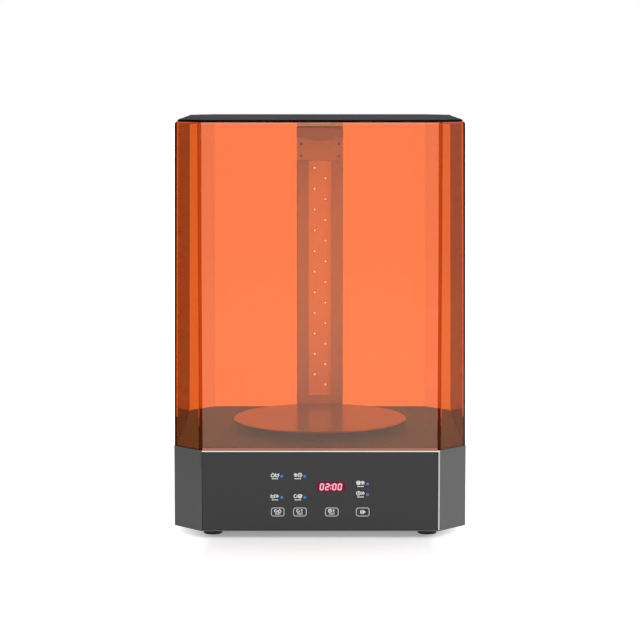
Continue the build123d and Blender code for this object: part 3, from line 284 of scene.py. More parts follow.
def placed(shape, origin, directions=FRONT):
    """Puts a shape on a face: origin + across * first direction + up * second + out * third."""
    points, faces = shape
    return np.asarray(origin, float) + points @ np.array(directions, float), faces


def middles(name, reach):
    """Where the separate pieces of a CAD node are, as seen from the front: (x, z) of each.

    Each corner of the mesh moves to the middle of the corners within reach of it. reach is more
    than a piece is across and less than the gap to the next, so one piece's corners meet.
    """
    points = np.array([vertex.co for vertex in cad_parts[name].data.vertices])[:, [0, 2]]
    near = np.linalg.norm(points[:, None] - points, axis=2) < reach
    return np.unique((near @ points / near.sum(1, keepdims=True)).round(4), axis=0)


def piece(name, shapes, body, material, smooth=False):
    """One object of several closed shapes, riding on a body, with its finish."""
    points, faces, start = [], [], 0
    for shape_points, shape_faces in shapes:
        points.append(shape_points)
        faces += [tuple(int(i) + start for i in face) for face in shape_faces]
        start += len(shape_points)
    mesh = bpy.data.meshes.new(name)
    mesh.from_pydata(np.vstack(points).tolist(), [], faces)
    mesh.materials.append(material)
    mesh.polygons.foreach_set("use_smooth", np.full(len(mesh.polygons), smooth))
    mesh.update()
    made = bpy.data.objects.new(name, mesh)
    bpy.context.scene.collection.objects.link(made)
    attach(made, body)
    return made


# Symbols: each is a list of lines in a square of side 1 about its middle, as (path, closed)

def drop():
    """A drop of liquid: x = 0.62 sin(t) sin(t / 2)^1.5, y = 0.5 cos(t)."""
    t = np.linspace(0, 2 * math.pi, 32, endpoint=False)
    return [(np.stack([0.62 * np.sin(t) * np.sin(t / 2) ** 1.5, 0.5 * np.cos(t)], -1), True)]


def sun():
    """A lamp that shines: a ring and eight rays."""
    rays = []
    for angle in np.arange(8) * math.pi / 4:
        way = np.array([math.cos(angle), math.sin(angle)])
        rays.append((np.stack([0.34 * way, 0.52 * way]), False))
    return [(circle((0, 0), 0.2), True), *rays]


def clock():
    """A clock face with two hands."""
    return [(circle((0, 0), 0.5), True), ([(0, 0.32), (0, 0), (0.22, -0.1)], False)]


def layers():
    """A stack of printed layers: a flat diamond and the front edges of two below."""
    lower = [([(-0.52, y), (0, y - 0.24), (0.52, y)], False) for y in (-0.04, -0.28)]
    return [([(-0.52, 0.24), (0, 0), (0.52, 0.24), (0, 0.48)], True), *lower]


def vessel():
    """An open vessel with a wave in it: y = 0.08 + 0.06 sin(2 pi x / 0.4)."""
    x = np.linspace(-0.32, 0.32, 17)
    wave = np.stack([x, 0.08 + 0.06 * np.sin(2 * math.pi * x / 0.4)], -1)
    walls = [(-0.46, 0.45), (-0.46, -0.25), (-0.28, -0.45), (0.28, -0.45), (0.46, -0.25), (0.46, 0.45)]
    return [(walls, False), (wave, False)]


def turning():
    """A turning arrow: most of a ring and its head."""
    ring = circle((0, 0), 0.44, 22, math.radians(70), math.radians(290))
    end = ring[-1]
    head = [end + (-0.27, 0.04), end, end + (0.08, -0.26)]
    return [(ring, False), (head, False)]


def chevrons():
    """Two marks that point ahead, one behind the other."""
    return [([(x, 0.4), (x + 0.34, 0), (x, -0.4)], False) for x in (-0.4, 0.02)]


def plus_minus():
    """A plus above a minus."""
    upright = ([(0, 0.52), (0, -0.04)], False)
    return [upright, ([(-0.28, 0.24), (0.28, 0.24)], False), ([(-0.28, -0.38), (0.28, -0.38)], False)]


def play_pause():
    """Two bars and a triangle that points right, filled by a smaller one inside."""
    bars = [([(x, 0.34), (x, -0.34)], False) for x in (-0.42, -0.18)]
    triangle = [([(x, y), (x + 1.2 * y, 0), (x, -y)], True) for x, y in ((0.06, 0.34), (0.12, 0.16))]
    return [*bars, *triangle]


def symbol(lines, middle, size, width, ink):
    """The lines of a symbol as printed strokes about a middle."""
    middle = np.asarray(middle)
    return [stroke(middle + size * np.asarray(path), width, ink, loop) for path, loop in lines]


def label(pair, middle, height, size):
    """Two symbols side by side over a row of level marks, all in proportion to the symbols' height."""
    drawn = []
    for side, lines in zip((-0.5, 0.5), pair):
        spot = middle + height * np.array([1.15 * side, 0.36])
        drawn += symbol(lines(), spot, height, size.line, size.ink)
    for step in (-1.5, -0.5, 0.5, 1.5):
        level = middle + height * np.array([0.44 * step, -0.64])
        mark = rounded(level, 0.35 * height, 1.3 * size.line, 0.3 * size.line, 4)
        drawn.append(plate(mark, level, size.ink))
    return drawn


# Materials

# Grains shared by several finishes, as satin takes them
SCREW = {"grains": 2400, "depth": 0.01, "amount": 0.1, "metallic": 1.0}
PRINT = {"grains": 2500, "depth": 0.005, "amount": 0.04}
PAINT = {"grains": 1100, "depth": 0.012, "amount": 0.03, "metallic": 0.7}
LACQUER = {"grains": 600, "depth": 0.01, "amount": 0.03, "metallic": 0.85}
# How wide the soft edge of a painted shade is, where a colour is painted darker left of an edge
SHADE_EDGE = 0.3 * MM
# How deep the foremost part of a lamp is, which shines
LENS_DEPTH = 0.2 * MM
# The share of the way to the display's rim at which its window starts to darken
WINDOW_SHADE = 0.6
# The hood's plastic. A slant is 0 where a face is met head on and 1 along it
PLASTIC_IOR = 1.49
SLANT_POWER, SLANT_MOST = 1.75, 0.12
GRAZING, GRAZING_SHARE = (0.78, 0.92), 0.78
GLOSS_FADED, GLOSS_SLANTED = 0.8, (0.45, 0.42, 0.4, 1)
# Polished faces mirror this much more than their angle alone asks, up to a share
GLOSS_GAIN, GLOSS_RAISED = 1.37, 0.1


def node(tree, kind, inputs=None, **settings):
    """Adds a node. inputs maps a socket's name or number to a value or to the socket to link."""
    made = tree.nodes.new(kind)
    for key, value in settings.items():
        setattr(made, key, value)
    for key, value in (inputs or {}).items():
        if isinstance(value, bpy.types.NodeSocket):
            tree.links.new(value, made.inputs[key])
        else:
            made.inputs[key].default_value = value
    return made


def worked(tree, operation, *values):
    """What a Math node makes of its values or sockets."""
    return node(tree, "ShaderNodeMath", dict(enumerate(values)), operation=operation).outputs[0]


def moved(tree, operation, *values):
    """What a Vector Math node makes of its vectors or sockets."""
    return node(tree, "ShaderNodeVectorMath", dict(enumerate(values)), operation=operation).outputs[0]


def ranged(tree, value, low, high, start=0.0, end=1.0):
    """A value taken from low..high to start..end, and held there outside it."""
    return node(
        tree, "ShaderNodeMapRange",
        {"Value": value, "From Min": low, "From Max": high, "To Min": start, "To Max": end},
    ).outputs[0]


def blend(tree, share, first, second):
    """A colour between two: share is 0 at the first and 1 at the second."""
    return node(
        tree, "ShaderNodeMix", {"Factor": share, "A": first, "B": second}, data_type="RGBA"
    ).outputs["Result"]


def blank(name):
    """An empty material: its node tree and its output."""
    material = bpy.data.materials.new(name)
    material.use_nodes = True
    tree = material.node_tree
    tree.nodes.clear()
    return material, tree, node(tree, "ShaderNodeOutputMaterial")


def place_of(tree, stretch=(1, 1, 1)):
    """Object coordinates in metres, stretched for a grain that runs one way."""
    place = node(tree, "ShaderNodeTexCoord").outputs["Object"]
    return node(tree, "ShaderNodeMapping", {"Vector": place, "Scale": stretch}).outputs[0]


def noise(tree, place, scale, detail=2.0):
    """A cloudy pattern; scale is how many clouds there are in a metre."""
    return node(
        tree, "ShaderNodeTexNoise", {"Vector": place, "Scale": scale, "Detail": detail}
    ).outputs["Fac"]


def spread(tree, value, low, high):
    """Maps a cloudy pattern, most of which lies between 0.3 and 0.7, to a range."""
    return ranged(tree, value, 0.3, 0.7, low, high)


def mottled(tree, value, base, amount):
    """A colour that varies by a share of itself along with a pattern."""
    darker = tuple(c * (1 - amount) for c in base[:3])
    lighter = tuple(min(c * (1 + amount), 1) for c in base[:3])
    return blend(tree, spread(tree, value, 0, 1), (*darker, 1), (*lighter, 1))


def bumped(tree, height, depth):
    """A normal from a height pattern; depth is in metres."""
    return node(
        tree, "ShaderNodeBump", {"Height": height, "Distance": depth, "Strength": 1.0}
    ).outputs[0]


def painted_shade_left(tree, base, edge, share):
    """A colour painted darker, to a share of itself, left of an upright edge at x = edge: painted shade."""
    x = node(tree, "ShaderNodeSeparateXYZ", {0: place_of(tree)}).outputs["X"]
    return moved(tree, "MULTIPLY", base, ranged(tree, x, edge - SHADE_EDGE, edge, share))


def satin(name, base, roughness, grains=1600, depth=0.02, amount=0.05, metallic=0.0,
          specular=0.5, stretch=(1, 1, 1), painted_shade=None, painted_glow=(0, 0, 0)):
    """A moulded, painted or ground surface: a fine grain, faint clouds and an uneven sheen.

    grains is how many there are in a metre and depth how deep they are in millimetres. amount is
    how far the colour varies. Given an edge and a share, the colour is painted darker left of that
    edge, to that share: painted shade on a piece's left end. The last argument is light that a piece
    gives off by itself though it is no lamp: a painted glow, as for light that the hood scatters.
    """
    material, tree, out = blank(name)
    place = place_of(tree, stretch)
    clouds = noise(tree, place_of(tree), 9, 4)
    grain = noise(tree, place, grains, 3)
    tint = mottled(tree, clouds, base, amount)
    shader = node(tree, "ShaderNodeBsdfPrincipled", {
        "Emission Color": (*painted_glow, 1),
        "Emission Strength": 1.0 if any(painted_glow) else 0.0,
        "Base Color": painted_shade_left(tree, tint, *painted_shade) if painted_shade else tint,
        "Roughness": spread(tree, clouds, roughness * 0.92, roughness * 1.08),
        "Metallic": metallic,
        "Specular IOR Level": specular,
        "Normal": bumped(tree, grain, depth * MM),
    })
    tree.links.new(shader.outputs[0], out.inputs["Surface"])
    return material


def turned(name, base, roughness, rings=900, depth=0.004):
    """Polished metal with the fine rings that turning leaves, about the upright axis.

    rings is how many there are in a metre and depth how deep they are in millimetres.
    """
    material, tree, out = blank(name)
    place = place_of(tree)
    level = moved(tree, "MULTIPLY", place, (1, 1, 0))
    radius = node(tree, "ShaderNodeVectorMath", {0: level}, operation="LENGTH").outputs["Value"]
    ring_place = node(tree, "ShaderNodeCombineXYZ", {"X": radius}).outputs[0]
    ring = noise(tree, ring_place, rings, 4)
    clouds = noise(tree, place, 14, 3)
    shader = node(tree, "ShaderNodeBsdfPrincipled", {
        "Base Color": mottled(tree, ring, base, 0.06),
        "Roughness": spread(tree, clouds, roughness * 0.85, roughness * 1.15),
        "Metallic": 1.0,
        "Normal": bumped(tree, ring, depth * MM),
    })
    tree.links.new(shader.outputs[0], out.inputs["Surface"])
    return material


def lit_over(tree, out, tint, strength=1.0, cover=None):
    """Ends a material with a light of its own on a cover, which is clear and dark unless given."""
    light = node(tree, "ShaderNodeEmission", {"Color": tint, "Strength": strength})
    cover = node(tree, "ShaderNodeBsdfPrincipled", cover or {
        "Base Color": (0.002, 0.002, 0.002, 1), "Roughness": 0.25, "Specular IOR Level": 0.1,
    })
    both = node(tree, "ShaderNodeAddShader", {0: light.outputs[0], 1: cover.outputs[0]})
    tree.links.new(both.outputs[0], out.inputs["Surface"])


def glowing(name, base):
    """A lit surface, slightly uneven, over a clear glossy cover."""
    material, tree, out = blank(name)
    clouds = noise(tree, place_of(tree), 700)
    lit_over(tree, out, mottled(tree, clouds, base, 0.12))
    return material


def window(middle, rim):
    """The display's tinted window: it glows round the digits and darkens towards its rim."""
    material, tree, out = blank("display_window")
    place = place_of(tree)
    clouds = noise(tree, place, 300)
    centre = (lens_low + lens_high) / 2
    half = (lens_high - lens_low) / 2
    reach = moved(tree, "SUBTRACT", place, centre)
    reach = moved(tree, "ABSOLUTE", moved(tree, "MULTIPLY", reach, (1 / half.x, 0, 1 / half.z)))
    apart = node(tree, "ShaderNodeSeparateXYZ", {0: reach}).outputs
    edge = worked(tree, "MAXIMUM", apart["X"], apart["Z"])
    dark = ranged(tree, edge, WINDOW_SHADE, 1.0)
    lit_over(tree, out, blend(tree, dark, mottled(tree, clouds, middle, 0.1), rim))
    return material


def lamp_lens(name, base, strength, dark):
    """Lamps whose clear lens, the foremost part of each, shines on a square base of a dark colour."""
    material, tree, out = blank(name)
    place = place_of(tree)
    clouds = noise(tree, place, 900)
    depth = node(tree, "ShaderNodeSeparateXYZ", {0: place}).outputs["Y"]
    lens = worked(tree, "LESS_THAN", depth, lamp_face + LENS_DEPTH)
    lit_over(tree, out, mottled(tree, clouds, base, 0.08), worked(tree, "MULTIPLY", lens, strength), {
        "Base Color": mottled(tree, clouds, dark, 0.08), "Roughness": spread(tree, clouds, 0.3, 0.4),
    })
    return material


def amber_sheet(name, straight, slanted, light, edge, bends):
    """Clear amber plastic: polished faces that bend light and mirror it as their angle asks.

    A face lets the colour straight through, a little deeper the more it is slanted, and close to the
    colour slanted from a grazing angle on, as a longer way through the sheet would. What it mirrors
    fades towards that angle. Light that reaches pieces behind the hood passes its faces unbent, in
    the colour light, and so does what shows through the two upright bends of each front corner, in
    the colour edge: partly the sheet's own tint and partly painted shade, deeper than a flat face, for
    the dark that a curved bend shows by bending and mirroring light. bends are two pairs, a middle and
    half a width: the first for the bend beside the front face, across, the second for the bend beside
    the side face, in depth.
    """
    material, tree, out = blank(name)
    smudges = noise(tree, place_of(tree), 11, 5)
    slant = node(tree, "ShaderNodeLayerWeight", {"Blend": 0.5}).outputs["Facing"]
    facing = worked(tree, "MINIMUM", worked(tree, "POWER", slant, SLANT_POWER), SLANT_MOST)
    deep = worked(tree, "ADD", facing, ranged(tree, slant, *GRAZING, 0.0, GRAZING_SHARE))
    bent = node(tree, "ShaderNodeBsdfRefraction", {
        "Color": blend(tree, deep, straight, slanted), "Roughness": 0.0, "IOR": PLASTIC_IOR,
    })
    mirrored = node(tree, "ShaderNodeBsdfGlossy", {
        "Color": blend(tree, ranged(tree, slant, 0.0, GLOSS_FADED), (1, 1, 1, 1), GLOSS_SLANTED),
        "Roughness": spread(tree, smudges, 0.0, 0.03),
    })
    angle = node(tree, "ShaderNodeFresnel", {"IOR": PLASTIC_IOR}).outputs[0]
    raised = worked(tree, "MINIMUM", worked(tree, "MULTIPLY", angle, GLOSS_GAIN), GLOSS_RAISED)
    split = worked(tree, "MAXIMUM", angle, raised)
    glass = node(tree, "ShaderNodeMixShader", {0: split, 1: bent.outputs[0], 2: mirrored.outputs[0]})
    # Where the bends are, the colour edge shows straight through: partly the sheet's tint, partly painted
    # shade
    apart = node(tree, "ShaderNodeSeparateXYZ", {0: place_of(tree)}).outputs
    near = worked(tree, "COMPARE", worked(tree, "ABSOLUTE", apart["X"]), *bends[0])
    first = worked(tree, "MULTIPLY", near, worked(tree, "LESS_THAN", apart["Y"], 0.0))
    corner = worked(tree, "MAXIMUM", first, worked(tree, "COMPARE", apart["Y"], *bends[1]))
    clear = node(tree, "ShaderNodeBsdfTransparent", {"Color": blend(tree, corner, light, edge)})
    path = node(tree, "ShaderNodeLightPath").outputs
    lit = worked(tree, "MAXIMUM", path["Is Shadow Ray"], path["Is Diffuse Ray"])
    unbent = worked(tree, "MAXIMUM", lit, corner)
    mix = node(tree, "ShaderNodeMixShader", {0: unbent, 1: glass.outputs[0], 2: clear.outputs[0]})
    tree.links.new(mix.outputs[0], out.inputs["Surface"])
    return material


def dress(material, *names):
    """Gives CAD nodes a finish."""
    for name in names:
        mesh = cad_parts[name].data
        mesh.materials.clear()
        mesh.materials.append(material)


# Operators, one for each group of like pieces

class STATION_OT_base(bpy.types.Operator):
    """Finishes the base housing, its bottom plate, feet and screws"""

    bl_idname = "station.base"
    bl_label = "Base"

    def execute(self, context):
        dress(satin("satin_housing", shade("housing"), 0.5), "base_shell", "bottom_plate")
        dress(satin("foot_rubber", shade("rubber"), 0.55, grains=700, depth=0.03), "feet", "touch_pads")
        dress(satin("zinc_screws", (0.55, 0.55, 0.56), 0.32, **SCREW),
              "foot_screws", "bottom_screws", "board_screws", "housing_screws", "motor_screws",
              "column_screws", "turntable_screws")
        dress(satin("black_screws", (0.03, 0.03, 0.032), 0.35, **SCREW), "deck_screws")
        dress(satin("grey_screws", (0.25, 0.25, 0.26), 0.35, **SCREW), "head_screws")
        return {"FINISHED"}


class STATION_OT_panel(bpy.types.Operator):
    """Finishes the touch panel, its bright trim and the parts behind it"""

    bl_idname = "station.panel"
    bl_label = "Touch panel"

    def execute(self, context):
        dress(satin("panel_sheet", shade("panel"), 0.42, grains=3000, depth=0.004, amount=0.04),
              "front_panel")
        # The trim's left leg is painted darker, to a fifth of its colour: painted shade, for the dark side
        # of the studio that it mirrors
        left_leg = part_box("front_panel")[0].x
        dress(satin("satin_trim", shade("trim"), 0.3, grains=900, depth=0.006, amount=0.03, metallic=1.0,
                    stretch=(0.02, 1, 1), painted_shade=(left_leg, 0.2)), "front_trim")
        dress(window(shade("display"), shade("display_rim")), "display_lens")
        dress(glowing("indicator_light", shade("indicator")), "indicator_lights")
        return {"FINISHED"}


class STATION_OT_touch_keys(bpy.types.Operator):
    """Prints an outline and a symbol for each touch key on the panel"""

    bl_idname = "station.touch_keys"
    bl_label = "Touch keys"

    def execute(self, context):
        size = marks()
        ink = satin("white_ink", shade("ink"), 0.55, **PRINT)
        pairs = ((turning, drop), (turning, plus_minus), (clock, plus_minus))
        keys = middles("touch_pads", 10 * MM)
        outlines, drawn = [], symbol(play_pause(), keys[-1], size.start_symbol, size.line, size.ink)
        for middle, pair in zip(keys, pairs):
            drawn += label(pair, middle, size.key_symbol, size)
        for middle in keys:
            outline = rounded(middle, size.key_width - size.key_line, size.key_height - size.key_line,
                              size.key_corner)
            outlines.append(stroke(outline, size.key_line, size.ink, True))
        face = (0, panel_face, 0)
        grey = satin("grey_ink", shade("key_ink"), 0.55, **PRINT)
        piece("key_outlines", [placed(shape, face) for shape in outlines], "root", grey)
        piece("key_symbols", [placed(shape, face) for shape in drawn], "root", ink)
        return {"FINISHED"}


class STATION_OT_indicators(bpy.types.Operator):
    """Adds a clear dome on each small light and prints the symbol beside it"""

    bl_idname = "station.indicators"
    bl_label = "Small lights"

    def execute(self, context):
        size = marks()
        pairs = ((vessel, chevrons), (drop, vessel), (turning, layers), (sun, clock), (clock, chevrons),
                 (layers, sun))
        domes, drawn = [], []
        shares = np.linspace(0, 1, 7)[:-1]
        levels = [(1, 0)] + [(math.sqrt(1 - t * t), t * size.light_rise) for t in shares]
        for middle, pair in zip(middles("indicator_lights", 5.5 * MM), pairs):
            domes.append(mound(circle(middle, size.light_dome / 2), middle, levels))
            drawn += label(pair, middle - (size.symbol_offset, 0), size.symbol, size)
        face = (0, panel_face, 0)
        lit = glowing("light_dome", shade("indicator"))
        ink = satin("symbol_ink", shade("ink"), 0.55, **PRINT)
        piece("light_domes", [placed(shape, face) for shape in domes], "root", lit, True)
        piece("light_symbols", [placed(shape, face) for shape in drawn], "root", ink)
        return {"FINISHED"}


class STATION_OT_digits(bpy.types.Operator):
    """Adds the lit digits of the display, two minutes on a clock with a colon"""

    bl_idname = "station.digits"
    bl_label = "Digits"

    # Lit bars of a digit: top, upper right, lower right, bottom, lower left, upper left, middle
    bars = {"0": (0, 1, 2, 3, 4, 5), "2": (0, 1, 6, 4, 3)}

    def execute(self, context):
        size = marks()
        wide = size.digit_width - size.digit_stroke
        tall = size.digit_height - size.digit_stroke
        lean = np.array([[1, 0], [size.digit_slant, 1]])
        places = [
            (0, tall / 2, False), (wide / 2, tall / 4, True), (wide / 2, -tall / 4, True),
            (0, -tall / 2, False), (-wide / 2, -tall / 4, True), (-wide / 2, tall / 4, True), (0, 0, False),
        ]
        centre = np.array([(lens_low.x + lens_high.x) / 2, (lens_low.z + lens_high.z) / 2])
        lit = []
        for place, digit in enumerate("0200"):
            side = 1 if place > 1 else -1
            middle = centre + ((place - 1.5) * size.digit_pitch + side * size.digit_gap / 2, 0)
            for number in self.bars[digit]:
                x, y, up = places[number]
                reach = (tall / 2 if up else wide) + 0.1 * size.digit_stroke
                bar = bar_outline((x, y), reach, size.digit_stroke, math.pi / 2 if up else 0.0) @ lean
                lit.append(plate(middle + bar, middle + np.array([x, y]) @ lean, size.ink))
        for y in (-tall / 4, tall / 4):
            dot = centre + np.array([0, y]) @ lean
            lit.append(plate(circle(dot, 0.55 * size.digit_stroke), dot, size.ink))
        shapes = [placed(shape, (0, lens_low.y, 0)) for shape in lit]
        piece("lit_digits", shapes, "root", glowing("lit_digits", shade("digits")))
        return {"FINISHED"}


class STATION_OT_inner_parts(bpy.types.Operator):
    """Finishes the boards, motor, bearings and drive inside the base"""

    bl_idname = "station.inner_parts"
    bl_label = "Inner parts"

    def execute(self, context):
        dress(satin("circuit_board", (0.02, 0.12, 0.05), 0.35, grains=500, amount=0.15),
              "touch_board", "control_board")
        dress(satin("black_moulding", (0.02, 0.02, 0.022), 0.45), "display_module",
              "hood_sensor", "switch_housing", "power_socket", "drive_hub", "turntable_boss")
        dress(satin("machined_aluminium", (0.7, 0.71, 0.72), 0.35, grains=1500, depth=0.01,
                    metallic=1.0, stretch=(1, 1, 0.05)), "bearing_housing", "shaft_coupling",
              "column_foot", "led_heatsink")
        dress(turned("ground_steel", (0.6, 0.6, 0.61), 0.25), "bearing_outer_rings",
              "bearing_inner_rings", "spindle", "motor_shaft", "spindle_circlip", "drive_pins")
        dress(satin("plated_steel", (0.6, 0.6, 0.61), 0.35, grains=800, depth=0.01, amount=0.06,
                    metallic=1.0), "motor_bracket", "motor_posts")
        dress(satin("motor_black", (0.04, 0.04, 0.042), 0.4), "motor")
        dress(satin("bright_magnets", (0.7, 0.7, 0.7), 0.15, grains=1200, depth=0.004, metallic=1.0),
              "hub_magnets", "turntable_magnets", "hood_magnet")
        dress(satin("switch_black", (0.015, 0.015, 0.016), 0.3), "switch_rocker")
        return {"FINISHED"}


class STATION_OT_switch_marks(bpy.types.Operator):
    """Prints the bar for on and the ring for off on the two faces of the power switch"""

    bl_idname = "station.switch_marks"
    bl_label = "Switch marks"

    def execute(self, context):
        size = marks()
        low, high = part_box("switch_rocker")
        middle = (low.z + high.z) / 2
        bar = ([(0, 0.5), (0, -0.5)], False)
        ring = (circle((0, 0), 0.5), True)
        shapes = []
        for side, lines in ((1, bar), (-1, ring)):
            origin, out = self.face(middle, side)
            directions = (REAR[0], np.cross(out, REAR[0]), out)
            drawn = symbol([lines], (0, 0), size.switch_symbol, size.switch_line, size.ink)
            shapes += [placed(shape, origin, directions) for shape in drawn]
        ink = satin("switch_ink", shade("ink"), 0.5, **PRINT)
        piece("switch_marks", shapes, "rocker", ink)
        return {"FINISHED"}

    def face(self, middle, side):
        """Middle and direction of the rocker's face above or below its valley, weighed by area."""
        near = [
            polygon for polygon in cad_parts["switch_rocker"].data.polygons
            if polygon.normal.y > 0.8 and side * (polygon.center.z - middle) > 0
        ]
        area = np.array([polygon.area for polygon in near])[:, None]
        centre = (area * np.array([polygon.center for polygon in near])).sum(0) / area.sum()
        return centre, np.array(near[0].normal)


class STATION_OT_chamber(bpy.types.Operator):
    """Finishes the deck and the turntable"""

    bl_idname = "station.chamber"
    bl_label = "Deck and turntable"

    def execute(self, context):
        # The deck gives off a faint light of its own, though it is no lamp: a painted glow that lifts the
        # shade under the turntable
        dress(satin("deck_plastic", shade("deck"), 0.6, grains=1400, depth=0.015, specular=0.15,
                    painted_glow=(0.022, 0.031, 0.033)), "deck_plate")
        dress(turned("turntable_steel", shade("turntable"), 0.22), "turntable_disc")
        return {"FINISHED"}


class STATION_OT_column(bpy.types.Operator):
    """Finishes the lamp column, its board and its lamps"""

    bl_idname = "station.column"
    bl_label = "Lamp column"

    def execute(self, context):
        # The column's left flank, 1.2 mm wide, is painted darker to 0.7 of its colour: painted shade on the
        # rounded flank
        left_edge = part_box("column_channel")[0].x + 1.2 * MM
        dress(satin("column_paint", shade("column"), 0.45, painted_shade=(left_edge, 0.7), **PAINT),
              "column_channel", "column_face", "column_cap")
        dress(satin("head_paint", (0.68, 0.68, 0.68), 0.45, **PAINT), "column_head")
        dress(satin("lamp_lacquer", shade("lamp_board"), 0.4, **LACQUER), "led_board")
        dress(lamp_lens("lamp_lens", (0.8, 0.85, 1.0), 1.3, (0.5, 0.45, 0.45)), "led_emitters")
        return {"FINISHED"}


class STATION_OT_lamp_solder(bpy.types.Operator):
    """Adds a solder pad at each side of every lamp, and the lines that join the lamps in turn"""

    bl_idname = "station.lamp_solder"
    bl_label = "Lamp solder"

    def execute(self, context):
        size = marks()
        lamps = middles("led_emitters", 6 * MM)
        lamps = lamps[np.argsort(-lamps[:, 1])]
        pads = []
        for lamp in lamps:
            for side in (-1, 1):
                spot = lamp + (side * size.pad_offset, 0)
                pad = rounded(spot, size.pad_width, size.pad_height, size.pad_corner, 4)
                pads.append(plate(pad, spot, 2 * size.ink))
        on_board = [placed(shape, (0, board_face, 0)) for shape in pads]
        solder = satin("solder", (0.7, 0.7, 0.72), 0.3, grains=3000, depth=0.01, amount=0.1, metallic=1.0)
        piece("lamp_pads", on_board, "root", solder)
        line = placed(stroke(lamps, size.trace_width, size.ink / 2), (0, board_face, 0))
        lacquer = satin("raised_lacquer", (0.8, 0.77, 0.76), 0.35, **LACQUER)
        piece("lamp_traces", [line], "root", lacquer)
        return {"FINISHED"}


class STATION_OT_hood(bpy.types.Operator):
    """Finishes the amber hood and its top plate, and adds a bar painted as the highlight along its lower
    edge
    """

    bl_idname = "station.hood"
    bl_label = "Hood"

    # How close corners of one face lie to it, and how far a bend's look goes past its ends
    near = 0.01 * MM
    ease = 0.2 * MM

    def execute(self, context):
        size = marks()
        points = np.array([vertex.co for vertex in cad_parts["hood_shell"].data.vertices])
        front, side = points[:, 1].min(), points[:, 0].max()
        front_end = np.abs(points[points[:, 1] < front + self.near, 0]).max()
        side_end = points[points[:, 0] > side - self.near, 1].min()
        half, thin = size.bend_width / 2, size.side_bend_width / 2
        bends = ((front_end + half, half + self.ease), (side_end - thin, thin + self.ease))
        dress(amber_sheet("amber_sheet", shade("hood"), shade("hood_slanted"), shade("hood_light"),
                          shade("hood_bend_tint_and_shade"), bends), "hood_shell")
        # The bar along the lower edge gets a bright colour: a painted highlight
        rim = satin("painted_rim_highlight", shade("painted_rim_highlight"), 0.3, grains=1500, depth=0.005)
        piece("painted_rim_highlight", [self.rim(front_end, front, points[:, 2].min(), size)], "hood", rim)
        dress(satin("top_plate_black", shade("top_plate"), 0.6, grains=1800, depth=0.01, amount=0.06,
                    specular=0.02), "hood_top_plate")
        return {"FINISHED"}

    def rim(self, end, front, low, size):
        """A thin bar along the foot of the hood's front, which carries the painted highlight: the four
        corners of its cross-section, once at either end."""
        out = front - size.rim_rise
        high = low + size.rim_height
        back = front + size.rim_rise
        ring = np.array([[0, front, low], [0, out, low], [0, out, high], [0, back, high]])
        rows = [ring + (side * end, 0, 0) for side in (1, -1)]
        return np.vstack(rows), [*quads(2, len(ring)), (3, 2, 1, 0), (4, 5, 6, 7)]


# The stage, in metres. Lamps are squares, and the cards stand at both sides
LAMP_SIZE = 1.5
LAMP_AIM = (0, 0, 0.2)
KEY_PLACE = (2.6, -1.2, 1.4)
FILL_PLACE = (-2.0, -1.4, 1.3)
CARD_ASIDE = 0.62
CARD_DEPTH = (-1.2, 1.2)
CARD_HEIGHT = (0.005, 1.5)
LEFT_GREY, RIGHT_GREY = 0.03, 0.6
FLOOR_REACH = 20
# Where the floor's glow grows, across and in depth, and how far it grows for gloss and glass
PATCH_ACROSS = (0.11, 0.15)
PATCH_DEPTH = (0.17, 0.6)
PATCH_ASIDE = 0.2
# The height of a direction, as a share of its length, between which the softbox overhead begins
SOFTBOX = (0.3, 0.8)


